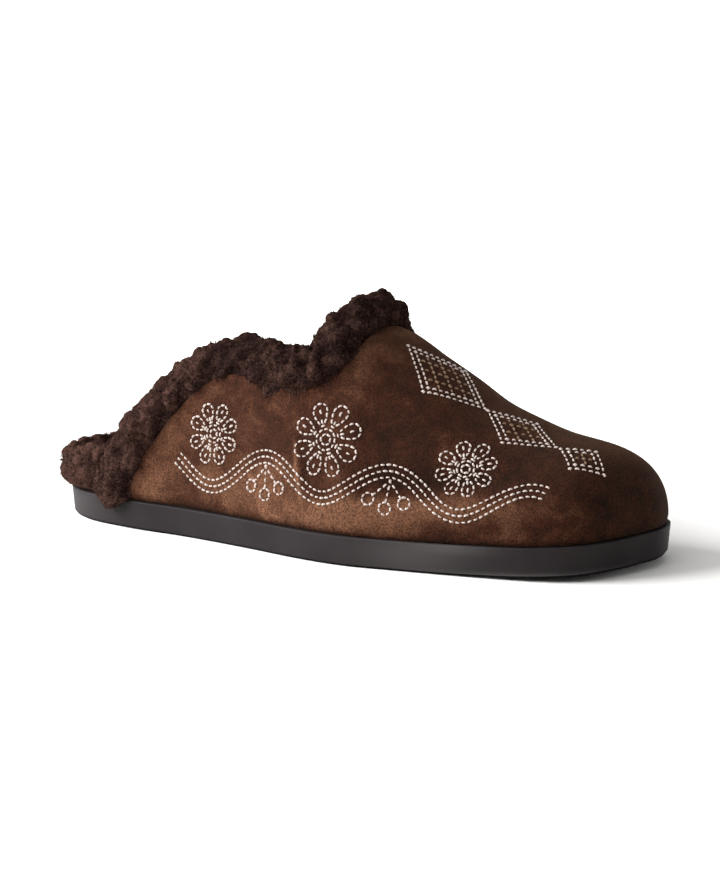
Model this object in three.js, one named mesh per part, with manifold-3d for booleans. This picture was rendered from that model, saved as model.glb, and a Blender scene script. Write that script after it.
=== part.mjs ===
// Backless suede clog for the right foot, with a curly fleece cuff and footbed on a flat rubber sole.
// Millimetres, +X towards the toe, +Y towards the inner side of the foot, +Z up.
// The origin lies on the floor under the middle of the shoe.

import * as THREE from 'three';
import { mergeVertices } from 'three/addons/utils/BufferGeometryUtils.js';
import Module from 'manifold-3d';

const wasm = await Module();
wasm.setup();

const { clamp, lerp, smoothstep } = THREE.MathUtils;

// Driving dimensions

const SOLE_LENGTH = 270;
const BALL_WIDTH = 97.6;
const INSTEP_HEIGHT = 88.5; // top of the suede at the throat, above the floor
const SOLE_THICKNESS = 12.2;
const TOE_SPRING = 3.5; // lift of the sole's tip above the floor
const SPRING_START = 0.685 * SOLE_LENGTH;
const ORIGIN_FROM_HEEL = 133;
const ORIGIN_FROM_AXIS = -1.75; // the middle of the shoe's box lies to the outer side of its long axis

const PIECE_GAP = 0.3;
const FEATHER_INSET = 1.2; // the upper stands this far inside the sole's edge
const UPPER_WALL = 2;
const UPPER_REAR = 0.16 * SOLE_LENGTH; // the suede's form starts here, behind its cut topline
const FAN_START = 0.66 * SOLE_LENGTH; // from here the arches turn round the toe
const RIDGE_END = 0.88 * SOLE_LENGTH; // point on top of the toe where the arches meet

// How finely the forms are divided
const SOLE_STEPS = 66;
const UPPER_STEPS = 26;
const TOE_STEPS = 18;
const ARCH_STEPS = 12; // from the sole's edge to the ridge, on each side
const INSOLE_STEPS = 42;
const TOPLINE_STEPS = 60;
const CUFF_PATH_STEPS = 36; // on each side
const HALVINGS = 40; // of a search for a place on a curve
const SLOPE_REACH = 0.5; // mm to each side

// Plan of the sole: along is a share of its length, outer and inner are shares of the ball width.
const SOLE_PLAN = [
  { along: 0.022, outer: 0.190, inner: 0.184 },
  { along: 0.081, outer: 0.312, inner: 0.297 },
  { along: 0.178, outer: 0.372, inner: 0.336 },
  { along: 0.289, outer: 0.395, inner: 0.328 },
  { along: 0.415, outer: 0.449, inner: 0.338 },
  { along: 0.519, outer: 0.504, inner: 0.379 },
  { along: 0.593, outer: 0.518, inner: 0.425 },
  { along: 0.685, outer: 0.482, inner: 0.469 },
  { along: 0.785, outer: 0.434, inner: 0.482 },
  { along: 0.881, outer: 0.375, inner: 0.464 },
  { along: 0.941, outer: 0.285, inner: 0.420 },
  { along: 0.975, outer: 0.130, inner: 0.352 },
  { along: 0.991, outer: -0.005, inner: 0.270 },
];
const HEEL_TIP = { along: 0, across: 0 };
const TOE_TIP = { along: 1, across: 0.1375 };

// Side of the sole from its top face round to its underside, in mm inside the plan and above the floor.
const SOLE_EDGE = [
  { inset: 0.9, height: SOLE_THICKNESS },
  { inset: 0.25, height: SOLE_THICKNESS - 0.25 },
  { inset: 0, height: SOLE_THICKNESS - 0.9 },
  { inset: 0.9, height: 2.2 },
  { inset: 1.5, height: 0.7 },
  { inset: 3, height: 0 },
];

// Arches of the upper: ridge height as a share of the instep's, ridge offset as a share of the ball width,
// and the roundness of the arch, 2 for an ellipse and more for a squarer one.
const UPPER_ARCHES = [
  { along: 0.16, ridge: 1.04, shift: 0, roundness: 2.6 },
  { along: 0.37, ridge: 1.04, shift: 0, roundness: 2.6 },
  { along: 0.49, ridge: 1.03, shift: 0.01, roundness: 2.4 },
  { along: 0.58, ridge: 0.993, shift: 0.015, roundness: 2.2 },
  { along: 0.64, ridge: 0.892, shift: 0.02, roundness: 2.1 },
  { along: 0.685, ridge: 0.807, shift: 0.03, roundness: 2.1 },
  { along: 0.735, ridge: 0.706, shift: 0.04, roundness: 2.1 },
  { along: 0.785, ridge: 0.638, shift: 0.055, roundness: 2.2 },
  { along: 0.835, ridge: 0.58, shift: 0.07, roundness: 2.5 },
  { along: 0.9, ridge: 0.543, shift: 0.085, roundness: 2.7 },
];

// Topline of the suede in side view, from the sole up to the throat, as shares of length and instep height.
// The inner side is cut lower than the outer one.
const TOPLINE = [
  { along: 0.168, outer: 0.09, inner: 0.09 },
  { along: 0.186, outer: 0.27, inner: 0.24 },
  { along: 0.238, outer: 0.49, inner: 0.37 },
  { along: 0.298, outer: 0.684, inner: 0.46 },
  { along: 0.342, outer: 0.768, inner: 0.51 },
  { along: 0.396, outer: 0.788, inner: 0.56 },
  { along: 0.485, outer: 0.753, inner: 0.66 },
  { along: 0.541, outer: 0.825, inner: 0.78 },
  { along: 0.558, outer: 0.9, inner: 0.895 },
  { along: 0.563, outer: 0.985, inner: 0.985 },
  { along: 0.567, outer: 1.09, inner: 1.09 },
];

// Fleece roll along the topline, from its end on the sole to the middle of the throat:
// half height and half thickness of the roll, and how far its middle lies above and inside the edge.
const CUFF_ROLL = [
  { along: 0, tall: 10.5, thick: 7, rise: 8.5, sink: 2 },
  { along: 0.15, tall: 9.4, thick: 7, rise: 7.2, sink: 2 },
  { along: 0.4, tall: 8.4, thick: 6.8, rise: 6.6, sink: 2 },
  { along: 0.65, tall: 9, thick: 6.8, rise: 7.4, sink: 2 },
  { along: 0.85, tall: 9.4, thick: 7.6, rise: 8.6, sink: 0 },
  { along: 1, tall: 9.4, thick: 8.4, rise: 8.6, sink: -3 },
];
const CUFF_STEPS = 96;
const CUFF_SIDES = 14;
const CUFF_END_STEPS = 2;
const LOCK_HEIGHT = 1.5; // locks of the fleece stand this far out of the roll, and the clefts as far in
const LOCK_STEPS = 4.3; // steps of the roll from lock to lock
const LOCKS_ROUND = 4; // locks round the roll
const LOCK_DRIFT = { amount: 0.9, rate: 0.35 }; // how unevenly they follow each other, in radians

// Fleece footbed: height of its rim and of its middle above the sole's top face.
const FOOTBED = [
  { along: -0.02, rim: 15.5, middle: 10 },
  { along: 0.1, rim: 16, middle: 9 },
  { along: 0.22, rim: 13, middle: 8.5 },
  { along: 0.4, rim: 9, middle: 7.5 },
  { along: 0.7, rim: 7, middle: 6.5 },
  { along: 1, rim: 6, middle: 6 },
];
// Edge of the footbed from the sole up over its rim: mm inside its widest line, share of the rim's height.
const FOOTBED_EDGE = [
  { inset: 1, height: 0.12 },
  { inset: 0, height: 0.4 },
  { inset: 0.6, height: 0.7 },
  { inset: 2.6, height: 0.92 },
  { inset: 5.5, height: 1 },
  { inset: 9, height: 0.9 },
];
const FOOTBED_FLAT_FROM = 14; // mm inside the widest line, where the footbed has sunk to its middle height
const FOOTBED_OVERHANG = 4; // fleece standing past the sole round the heel
const FOOTBED_INSET = FEATHER_INSET + UPPER_WALL + 2 * PIECE_GAP;
// Locks on the open rim: mm proud, spacing along the rim and over its edge, and their lean.
const FOOTBED_LOCKS = { height: 0.9, steps: 2.7, rows: 2.3, lean: 1 / 3 };
const HEEL_OPEN_TO = 0.1 * SOLE_LENGTH; // the overhang ends here
const SIDES_CLOSED_FROM = 0.185 * SOLE_LENGTH; // from here the footbed lies inside the upper

// Smooth curve through one column of a table, as a function of the share of the length.
function smoothColumn(rows, name) {
  const last = rows.length - 1;
  const slopeAt = (i) => {
    const before = rows[Math.max(i - 1, 0)];
    const after = rows[Math.min(i + 1, last)];
    return (after[name] - before[name]) / (after.along - before.along);
  };
  return (along) => {
    const place = clamp(along, rows[0].along, rows[last].along);
    const i = clamp(rows.findIndex((row) => row.along >= place) - 1, 0, last - 1);
    const span = rows[i + 1].along - rows[i].along;
    const s = (place - rows[i].along) / span;
    const start = rows[i][name] * (1 + 2 * s) + slopeAt(i) * span * s;
    const end = rows[i + 1][name] * (3 - 2 * s) + slopeAt(i + 1) * span * (s - 1);
    return start * (1 - s) ** 2 + end * s ** 2;
  };
}

// Closed skin over rings of points. Where a ring has folded onto itself the skin closes there,
// and an open first ring is filled by a strip between its two halves.
function skin(rings, fillFirst = false) {
  const size = rings[0].length;
  const positions = rings.flat().flatMap((point) => point.toArray());
  const triangles = [];
  const addQuad = (a, b, c, d) => triangles.push([a, b, c], [a, c, d]);
  for (let k = 0; k + 1 < rings.length; k += 1) {
    for (let j = 0; j < size; j += 1) {
      const next = (j + 1) % size;
      addQuad(k * size + j, (k + 1) * size + j, (k + 1) * size + next, k * size + next);
    }
  }
  for (let j = 0; fillFirst && j < size / 2 - 1; j += 1) {
    addQuad(j, j + 1, size - 2 - j, size - 1 - j);
  }
  const loose = new THREE.BufferGeometry();
  loose.setAttribute('position', new THREE.Float32BufferAttribute(positions, 3));
  loose.setIndex(triangles.flat());
  const merged = mergeVertices(loose);
  const index = merged.getIndex().array;
  const kept = [];
  for (let i = 0; i < index.length; i += 3) {
    const [a, b, c] = index.slice(i, i + 3);
    if (a !== b && b !== c && c !== a) kept.push(a, b, c);
  }
  merged.setIndex(kept);
  return merged;
}

function toManifold(geometry) {
  const bare = geometry.clone();
  bare.deleteAttribute('normal');
  bare.deleteAttribute('uv');
  const merged = mergeVertices(bare);
  return new wasm.Manifold(new wasm.Mesh({
    numProp: 3,
    vertProperties: new Float32Array(merged.getAttribute('position').array),
    triVerts: new Uint32Array(merged.getIndex().array),
  }));
}

function toGeometry(manifold) {
  const { vertProperties, triVerts } = manifold.getMesh();
  const geometry = new THREE.BufferGeometry();
  geometry.setAttribute('position', new THREE.BufferAttribute(vertProperties, 3));
  geometry.setIndex(new THREE.BufferAttribute(triVerts, 1));
  return geometry;
}

// Plan of the sole

const planPoint = (along, across) => new THREE.Vector3(along * SOLE_LENGTH, across * BALL_WIDTH, 0);

const solePlan = new THREE.CatmullRomCurve3([
  planPoint(HEEL_TIP.along, HEEL_TIP.across),
  ...SOLE_PLAN.map((row) => planPoint(row.along, -row.outer)),
  planPoint(TOE_TIP.along, TOE_TIP.across),
  ...SOLE_PLAN.toReversed().map((row) => planPoint(row.along, row.inner)),
], true, 'centripetal');

// Place on the plan where one side reaches a distance from the heel: the outer side is its first half.
function planParameter(side, x) {
  if (x <= 0) return 0;
  if (x >= SOLE_LENGTH) return 0.5;
  let heelEnd = side === 'outer' ? 0 : 1;
  let toeEnd = 0.5;
  for (let step = 0; step < HALVINGS; step += 1) {
    const middle = (heelEnd + toeEnd) / 2;
    if (solePlan.getPoint(middle).x < x) heelEnd = middle;
    else toeEnd = middle;
  }
  return toeEnd;
}

function planEdge(side, x, inset) {
  const parameter = planParameter(side, x);
  const tangent = solePlan.getTangent(parameter);
  const inward = new THREE.Vector3(-tangent.y, tangent.x, 0);
  return solePlan.getPoint(parameter).addScaledVector(inward, inset);
}

const springAt = (x) => TOE_SPRING * Math.max(0, (x - SPRING_START) / (SOLE_LENGTH - SPRING_START)) ** 2;
const soleTop = (x) => SOLE_THICKNESS + springAt(x);

// Distances from the heel, closer together at the round ends.
const roundSteps = (count) => Array.from(
  { length: count + 1 },
  (_, k) => SOLE_LENGTH * (1 - Math.cos(Math.PI * k / count)) / 2,
);

function outsoleGeometry() {
  const edgeLine = (side, x) => SOLE_EDGE.map(({ inset, height }) => {
    const point = planEdge(side, x, inset);
    return point.setZ(height + springAt(point.x));
  });
  const rings = roundSteps(SOLE_STEPS).map(
    (x) => [...edgeLine('outer', x).reverse(), ...edgeLine('inner', x)],
  );
  return skin(rings);
}

// Form of the upper

const ridgeColumn = smoothColumn(UPPER_ARCHES, 'ridge');
const shiftColumn = smoothColumn(UPPER_ARCHES, 'shift');
const roundnessColumn = smoothColumn(UPPER_ARCHES, 'roundness');
const ridgeHeight = (x) => ridgeColumn(x / SOLE_LENGTH) * INSTEP_HEIGHT;
const ridgeShift = (x) => shiftColumn(x / SOLE_LENGTH) * BALL_WIDTH;
const roundness = (x) => roundnessColumn(x / SOLE_LENGTH);
const archBase = (x) => soleTop(x) + PIECE_GAP;
const ridgeSlope = (x) => (
  (ridgeHeight(x + SLOPE_REACH) - ridgeHeight(x - SLOPE_REACH)) / (2 * SLOPE_REACH)
);

// Arches stand straight across the shoe as far as the toe, where they gather on the end of the ridge.
function ridgePlace(x) {
  if (x <= FAN_START) return x;
  const gather = (SOLE_LENGTH - FAN_START) / (RIDGE_END - FAN_START);
  const share = (x - FAN_START) / (SOLE_LENGTH - FAN_START);
  return lerp(RIDGE_END, FAN_START, (1 - share) ** gather);
}

// Half an arch from the sole's edge to the ridge, a depth inside the upper's outer face.
function halfArch(side, x, depth) {
  const foot = planEdge(side, x, FEATHER_INSET + depth);
  const top = ridgePlace(x);
  const power = 2 / roundness(top);
  const points = [];
  for (let j = 0; j <= ARCH_STEPS; j += 1) {
    const turn = Math.PI / 2 * j / ARCH_STEPS;
    const inward = j === ARCH_STEPS ? 1 : 1 - Math.cos(turn) ** power;
    const upward = Math.sin(turn) ** power;
    const px = lerp(foot.x, top, inward);
    const py = lerp(foot.y, ridgeShift(top), inward);
    const crown = ridgeHeight(top) - depth + ridgeSlope(top) * (px - top);
    points.push(new THREE.Vector3(px, py, lerp(archBase(foot.x), crown, upward)));
  }
  return points;
}

const wholeArch = (x, depth) => [
  ...halfArch('outer', x, depth),
  ...halfArch('inner', x, depth).slice(0, -1).reverse(),
];

// Distances from the heel of the upper's arches, even along the side and closer round the toe.
const upperPlaces = [
  ...Array.from({ length: UPPER_STEPS }, (_, k) => lerp(UPPER_REAR, FAN_START, k / UPPER_STEPS)),
  ...Array.from({ length: TOE_STEPS + 1 }, (_, k) => (
    lerp(FAN_START, SOLE_LENGTH, Math.sin(Math.PI / 2 * k / TOE_STEPS))
  )),
];

const toplineCurve = (side) => new THREE.CatmullRomCurve3(
  TOPLINE.map((row) => new THREE.Vector3(row.along * SOLE_LENGTH, 0, row[side] * INSTEP_HEIGHT)),
  false,
  'centripetal',
);
const toplines = { outer: toplineCurve('outer'), inner: toplineCurve('inner') };

// What lies above and behind the topline of one side, moved away from the suede by an offset.
function toplineCutter(side, offset) {
  const farBack = -0.2 * SOLE_LENGTH;
  const farUp = 1.5 * INSTEP_HEIGHT;
  const edge = toplines[side].getSpacedPoints(TOPLINE_STEPS).map((point, i) => {
    const tangent = toplines[side].getTangentAt(i / TOPLINE_STEPS);
    return new THREE.Vector2(point.x - tangent.z * offset, point.z + tangent.x * offset);
  });
  const shape = new THREE.Shape([
    new THREE.Vector2(farBack, edge[0].y),
    ...edge,
    new THREE.Vector2(edge.at(-1).x, farUp),
    new THREE.Vector2(farBack, farUp),
  ]);
  const overlap = 1; // the two sides are alike across the middle of the throat
  const geometry = new THREE.ExtrudeGeometry(shape, { depth: BALL_WIDTH, bevelEnabled: false });
  geometry.rotateX(Math.PI / 2).translate(0, side === 'outer' ? overlap : BALL_WIDTH - overlap, 0);
  return toManifold(geometry);
}

// The suede shell, grown all round by an amount so that what meets it can keep a gap.
function upperSolid(grow) {
  const rings = upperPlaces.map((x) => [
    ...wholeArch(x, -grow),
    ...wholeArch(x, UPPER_WALL + grow).reverse(),
  ]);
  return toManifold(skin(rings, true))
    .subtract(toplineCutter('outer', grow))
    .subtract(toplineCutter('inner', grow));
}

// Fleece cuff

// The upper's middle surface as a level set: 1 on it, less inside.
function upperField(point) {
  const side = point.y < ridgeShift(point.x) ? 'outer' : 'inner';
  const foot = planEdge(side, point.x, FEATHER_INSET + UPPER_WALL / 2);
  const base = archBase(point.x);
  const rise = ridgeHeight(point.x) - UPPER_WALL / 2 - base;
  const power = roundness(point.x);
  const across = Math.abs((point.y - ridgeShift(point.x)) / (foot.y - ridgeShift(point.x)));
  return across ** power + Math.max(0, (point.z - base) / rise) ** power;
}

function upperNormal(point) {
  const difference = (axis) => {
    const step = new THREE.Vector3().setComponent(axis, SLOPE_REACH);
    return upperField(point.clone().add(step)) - upperField(point.clone().sub(step));
  };
  return new THREE.Vector3(difference(0), difference(1), difference(2)).normalize();
}

// Point of the upper's middle surface on one side, under a point of the topline.
function onUpper(side, { x, z }) {
  const foot = planEdge(side, x, FEATHER_INSET + UPPER_WALL / 2);
  const base = archBase(x);
  const share = clamp((z - base) / (ridgeHeight(x) - UPPER_WALL / 2 - base), 0, 1);
  const across = (1 - share ** roundness(x)) ** (1 / roundness(x));
  return new THREE.Vector3(x, lerp(ridgeShift(x), foot.y, across), z);
}

// Edge of the suede on one side, from the sole to the middle of the throat.
function suedeEdge(side) {
  let start = 0;
  let throat = 1;
  for (let step = 0; step < HALVINGS; step += 1) {
    const middle = (start + throat) / 2;
    const point = toplines[side].getPoint(middle);
    if (point.z < ridgeHeight(point.x) - UPPER_WALL / 2) start = middle;
    else throat = middle;
  }
  return Array.from({ length: CUFF_PATH_STEPS + 1 }, (_, i) => (
    onUpper(side, toplines[side].getPoint(throat * (1 - (1 - i / CUFF_PATH_STEPS) ** 2)))
  ));
}

const cuffPath = new THREE.CatmullRomCurve3(
  [...suedeEdge('outer'), ...suedeEdge('inner').slice(0, -1).reverse()],
  false,
  'centripetal',
);

const cuffColumns = Object.fromEntries(
  ['tall', 'thick', 'rise', 'sink'].map((name) => [name, smoothColumn(CUFF_ROLL, name)]),
);

// Stations of the roll with their directions: out of the suede, and away from its edge.
const cuffStations = Array.from({ length: CUFF_STEPS + 1 }, (_, i) => {
  const share = i / CUFF_STEPS;
  const along = 1 - Math.abs(2 * share - 1);
  const edge = cuffPath.getPointAt(share);
  const out = upperNormal(edge);
  const away = out.clone().cross(cuffPath.getTangentAt(share)).normalize();
  const size = Object.fromEntries(Object.entries(cuffColumns).map(([name, at]) => [name, at(along)]));
  const centre = edge.clone().addScaledVector(away, size.rise).addScaledVector(out, -size.sink);
  return { centre, out, away, ...size };
});

// Point of the roll's skin at an angle from its outer face, a distance out of the plain roll.
function rollPoint(station, angle, distance, scale) {
  return station.centre.clone()
    .addScaledVector(station.out, Math.cos(angle) * (station.thick + distance) * scale)
    .addScaledVector(station.away, Math.sin(angle) * (station.tall + distance) * scale);
}

// Locks stand in staggered rows whose spacing drifts along the roll.
function lockHeight(i, j) {
  const drift = LOCK_DRIFT.amount * Math.sin(LOCK_DRIFT.rate * i);
  const along = Math.cos(2 * Math.PI * i / LOCK_STEPS + drift);
  const round = Math.cos(2 * Math.PI * j * LOCKS_ROUND / CUFF_SIDES + drift);
  return LOCK_HEIGHT * along * round;
}

// The roll with its locks fused on, grown by an amount so that what meets it can keep a gap.
function cuffSolid(grow) {
  const rings = cuffStations.map((station, i) => {
    const fromEnd = Math.min(i, CUFF_STEPS - i, CUFF_END_STEPS) / CUFF_END_STEPS;
    const scale = Math.sqrt(1 - (1 - fromEnd) ** 2);
    return Array.from({ length: CUFF_SIDES }, (_, j) => (
      rollPoint(station, 2 * Math.PI * j / CUFF_SIDES, lockHeight(i, j) + grow, scale)
    ));
  });
  return toManifold(skin(rings));
}

// Everything below the sole's top face.
function soleCutter(gap) {
  const reach = 2 * SOLE_LENGTH;
  const geometry = new THREE.BoxGeometry(reach, reach, reach);
  geometry.translate(0, 0, SOLE_THICKNESS + gap - reach / 2);
  return toManifold(geometry);
}

const cuffGeometry = () => toGeometry(
  cuffSolid(0).subtract(upperSolid(PIECE_GAP)).subtract(soleCutter(PIECE_GAP)),
);

// Fleece footbed, dished, inside the upper and proud of the sole round the heel, its open rim in locks.
function insoleGeometry() {
  const rimColumn = smoothColumn(FOOTBED, 'rim');
  const middleColumn = smoothColumn(FOOTBED, 'middle');
  const sideLine = (side, x, step) => {
    const closed = smoothstep(x, HEEL_OPEN_TO, SIDES_CLOSED_FROM);
    const widest = lerp(-FOOTBED_OVERHANG, FOOTBED_INSET, closed);
    const base = archBase(x);
    const rim = rimColumn(x / SOLE_LENGTH);
    const turn = 2 * Math.PI * step / FOOTBED_LOCKS.steps;
    const edge = FOOTBED_EDGE.map(({ inset, height }, row) => {
      const rowTurn = 2 * Math.PI * row / FOOTBED_LOCKS.rows + FOOTBED_LOCKS.lean * turn;
      const lock = Math.cos(turn) * Math.cos(rowTurn);
      const proud = FOOTBED_LOCKS.height * lock * (1 - closed);
      return planEdge(side, x, widest + inset - proud).setZ(base + rim * height + proud / 2);
    });
    const foot = planEdge(side, x, lerp(FEATHER_INSET, FOOTBED_INSET, closed)).setZ(base);
    const flat = planEdge(side, x, widest + FOOTBED_FLAT_FROM).setZ(base + middleColumn(x / SOLE_LENGTH));
    return [foot, ...edge, flat];
  };
  const rings = roundSteps(INSOLE_STEPS).map(
    (x, step) => [...sideLine('outer', x, step), ...sideLine('inner', x, step).reverse()],
  );
  return toGeometry(toManifold(skin(rings)).subtract(cuffSolid(2 * PIECE_GAP)));
}

// Finishes

const smoothRubber = new THREE.MeshStandardMaterial({ color: 0x2a221f, roughness: 0.45, metalness: 0 });
const brownSuede = new THREE.MeshStandardMaterial({ color: 0x4a2c1c, roughness: 0.95, metalness: 0 });
const curlyFleece = new THREE.MeshStandardMaterial({ color: 0x33211a, roughness: 1, metalness: 0 });

const PIECES = [
  { name: 'outsole', geometry: outsoleGeometry(), material: smoothRubber },
  { name: 'upper', geometry: toGeometry(upperSolid(0)), material: brownSuede },
  { name: 'insole', geometry: insoleGeometry(), material: curlyFleece },
  { name: 'cuff', geometry: cuffGeometry(), material: curlyFleece },
];

const clog = new THREE.Group();
clog.position.set(-ORIGIN_FROM_HEEL, -ORIGIN_FROM_AXIS, 0);
PIECES.forEach(({ name, geometry, material }) => {
  geometry.computeVertexNormals();
  const mesh = new THREE.Mesh(geometry, material);
  mesh.name = name;
  clog.add(mesh);
});

export default clog;
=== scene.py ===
import math

import bmesh
import bpy
import numpy as np
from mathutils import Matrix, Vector, noise
from mathutils.bvhtree import BVHTree
from mathutils.kdtree import KDTree


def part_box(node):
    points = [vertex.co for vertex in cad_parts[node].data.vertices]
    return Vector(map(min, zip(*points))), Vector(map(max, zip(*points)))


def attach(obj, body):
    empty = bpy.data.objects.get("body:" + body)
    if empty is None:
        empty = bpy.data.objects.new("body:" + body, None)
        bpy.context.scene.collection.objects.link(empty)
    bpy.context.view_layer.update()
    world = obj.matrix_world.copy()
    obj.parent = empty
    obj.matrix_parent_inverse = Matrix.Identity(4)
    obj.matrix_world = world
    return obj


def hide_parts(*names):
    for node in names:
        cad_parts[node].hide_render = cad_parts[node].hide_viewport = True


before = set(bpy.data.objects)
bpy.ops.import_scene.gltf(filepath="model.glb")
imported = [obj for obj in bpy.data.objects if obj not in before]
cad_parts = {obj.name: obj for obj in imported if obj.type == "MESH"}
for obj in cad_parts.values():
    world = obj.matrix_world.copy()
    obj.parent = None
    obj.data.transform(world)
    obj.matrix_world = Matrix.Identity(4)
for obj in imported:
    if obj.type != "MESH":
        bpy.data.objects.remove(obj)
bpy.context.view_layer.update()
mm = 0.001  # a millimetre in metres
bothSides = ("outer", "inner")

# Last of the shoe, in millimetres from the tip of the heel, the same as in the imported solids
soleLow, soleHigh = (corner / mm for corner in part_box("outsole"))
last = {
    "length": soleHigh.x - soleLow.x,
    "ballWidth": soleHigh.y - soleLow.y,
    "instep": 88.5,  # suede at the throat, above the floor
    "soleThick": 12.2,
    "toeSpring": 3.5,
    "springFrom": 0.685,  # shares of the length
    "fanFrom": 0.66,
    "ridgeEnd": 0.88,
    "gap": 0.3,
    "feather": 1.2,  # the suede stands this far inside the sole's edge
    "wall": 2.0,
    "toeTip": 0.1375,  # share of the ball width
}
solePlan = {  # shares of the length, then of the ball width
    "along": (0.022, 0.081, 0.178, 0.289, 0.415, 0.519, 0.593, 0.685, 0.785, 0.881, 0.941, 0.975, 0.991),
    "outer": (0.190, 0.312, 0.372, 0.395, 0.449, 0.504, 0.518, 0.482, 0.434, 0.375, 0.285, 0.130, -0.005),
    "inner": (0.184, 0.297, 0.336, 0.328, 0.338, 0.379, 0.425, 0.469, 0.482, 0.464, 0.420, 0.352, 0.270),
}
arches = {  # shares of the length, of the instep and of the ball width, and a power
    "along": (0.16, 0.37, 0.49, 0.58, 0.64, 0.685, 0.735, 0.785, 0.835, 0.9),
    "ridge": (1.04, 1.04, 1.03, 0.993, 0.892, 0.807, 0.706, 0.638, 0.58, 0.543),
    "shift": (0, 0, 0.01, 0.015, 0.02, 0.03, 0.04, 0.055, 0.07, 0.085),
    "roundness": (2.6, 2.6, 2.4, 2.2, 2.1, 2.1, 2.1, 2.2, 2.5, 2.7),
}
topline = {  # shares of the length, then of the instep
    "along": (0.168, 0.186, 0.238, 0.298, 0.342, 0.396, 0.485, 0.541, 0.558, 0.563, 0.567),
    "outer": (0.09, 0.27, 0.49, 0.684, 0.768, 0.788, 0.753, 0.825, 0.9, 0.985, 1.09),
    "inner": (0.09, 0.24, 0.37, 0.46, 0.51, 0.56, 0.66, 0.78, 0.895, 0.985, 1.09),
}
length, ballWidth = last["length"], last["ballWidth"]
fanStart = last["fanFrom"] * length
wallMiddle = last["feather"] + last["wall"] / 2
heelTip = np.array([soleLow.x, soleLow.y + max(solePlan["outer"]) * ballWidth, 0])
lineSteps = 60  # points on each stretch of a smooth line


def inFrame(points):
    return (np.asarray(points, float) + heelTip) * mm


def unit(vectors):
    return vectors / np.linalg.norm(vectors, axis=-1, keepdims=True)


def bell(away):
    return np.exp(-away ** 2)


def fade(value, start, reach, least=0):
    # from the least at the start up to 1 at the end of the reach, which may run backwards
    return np.clip((value - start) / reach, least, 1)


def runLength(line):
    # length along a line up to each of its points
    return np.concatenate([[0], np.cumsum(np.linalg.norm(np.diff(line, axis=0), axis=1))])


def smoothLine(points, closed=False, steps=lineSteps):
    # centripetal curve through the points, the one that the solids follow
    b = np.array(points, float)
    if closed:
        a, c, d = np.roll(b, 1, 0), np.roll(b, -1, 0), np.roll(b, -2, 0)
    else:
        whole = np.vstack([2 * b[0] - b[1], b, 2 * b[-1] - b[-2]])
        a, b, c, d = whole[:-3], whole[1:-2], whole[2:-1], whole[3:]
    pairs = ((a, b), (b, c), (c, d))
    spanA, spanB, spanC = (np.sqrt(np.linalg.norm(q - p, axis=1))[:, None] for p, q in pairs)
    slopeB = ((b - a) / spanA - (c - a) / (spanA + spanB) + (c - b) / spanB) * spanB
    slopeC = ((c - b) / spanB - (d - b) / (spanB + spanC) + (d - c) / spanC) * spanB
    w = np.linspace(0, 1, steps, endpoint=False)[None, :, None]
    b, c, slopeB, slopeC = (v[:, None] for v in (b, c, slopeB, slopeC))
    square = 3 * c - 3 * b - 2 * slopeB - slopeC
    cube = 2 * b - 2 * c + slopeB + slopeC
    line = b + slopeB * w + square * w ** 2 + cube * w ** 3
    line = line.reshape(-1, line.shape[-1])
    return line if closed else np.vstack([line, points[-1]])


def column(table, name):
    # smooth curve through one column of a table
    at, value = np.array(table["along"], float), np.array(table[name], float)
    order = np.arange(len(at))
    low, high = np.maximum(order - 1, 0), np.minimum(order + 1, len(at) - 1)
    slope = (value[high] - value[low]) / (at[high] - at[low])

    def read(along):
        place = np.clip(along, at[0], at[-1])
        i = np.clip(np.searchsorted(at, place) - 1, 0, len(at) - 2)
        span = at[i + 1] - at[i]
        s = (place - at[i]) / span
        start = value[i] * (1 + 2 * s) + slope[i] * span * s
        end = value[i + 1] * (3 - 2 * s) + slope[i + 1] * span * (s - 1)
        return start * (1 - s) ** 2 + end * s ** 2

    return read


planLine = smoothLine(
    [(0, 0)]
    + [(a * length, -o * ballWidth) for a, o in zip(solePlan["along"], solePlan["outer"])]
    + [(length, last["toeTip"] * ballWidth)]
    + [(a * length, i * ballWidth) for a, i in zip(solePlan["along"][::-1], solePlan["inner"][::-1])],
    closed=True,
)
planRows = np.hstack([planLine, unit(np.roll(planLine, -1, 0) - np.roll(planLine, 1, 0))])
half = len(planLine) // 2
planSides = {"outer": planRows[:half + 1], "inner": np.vstack([planRows[:1], planRows[:half - 1:-1]])}


def soleEdge(side, x, inset):
    # point of the sole's plan on one side, moved inwards
    rows = planSides[side]
    reach = np.maximum.accumulate(rows[:, 0])
    y, wayX, wayY = (np.interp(x, reach, rows[:, k]) for k in (1, 2, 3))
    return x - wayY * inset, y + wayX * inset


def soleStations(count):
    # places along the sole, closer together at its ends
    return length * (1 - np.cos(np.pi * np.linspace(0, 1, count))) / 2


def spring(x):
    start = last["springFrom"] * length
    return last["toeSpring"] * np.maximum(0, (x - start) / (length - start)) ** 2


def archBase(x):
    return last["soleThick"] + spring(x) + last["gap"]


ridgeShare, shiftShare, roundnessOf = (column(arches, name) for name in ("ridge", "shift", "roundness"))


def ridge(x):
    return ridgeShare(x / length) * last["instep"]


def shift(x):
    return shiftShare(x / length) * ballWidth


def roundness(x):
    return roundnessOf(x / length)


def ridgePlace(x):
    # the arches gather on the end of the ridge at the toe
    end = last["ridgeEnd"] * length
    share = fade(x, fanStart, length - fanStart)
    power = (length - fanStart) / (end - fanStart)
    return np.where(x <= fanStart, x, end + (fanStart - end) * (1 - share) ** power)


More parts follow.
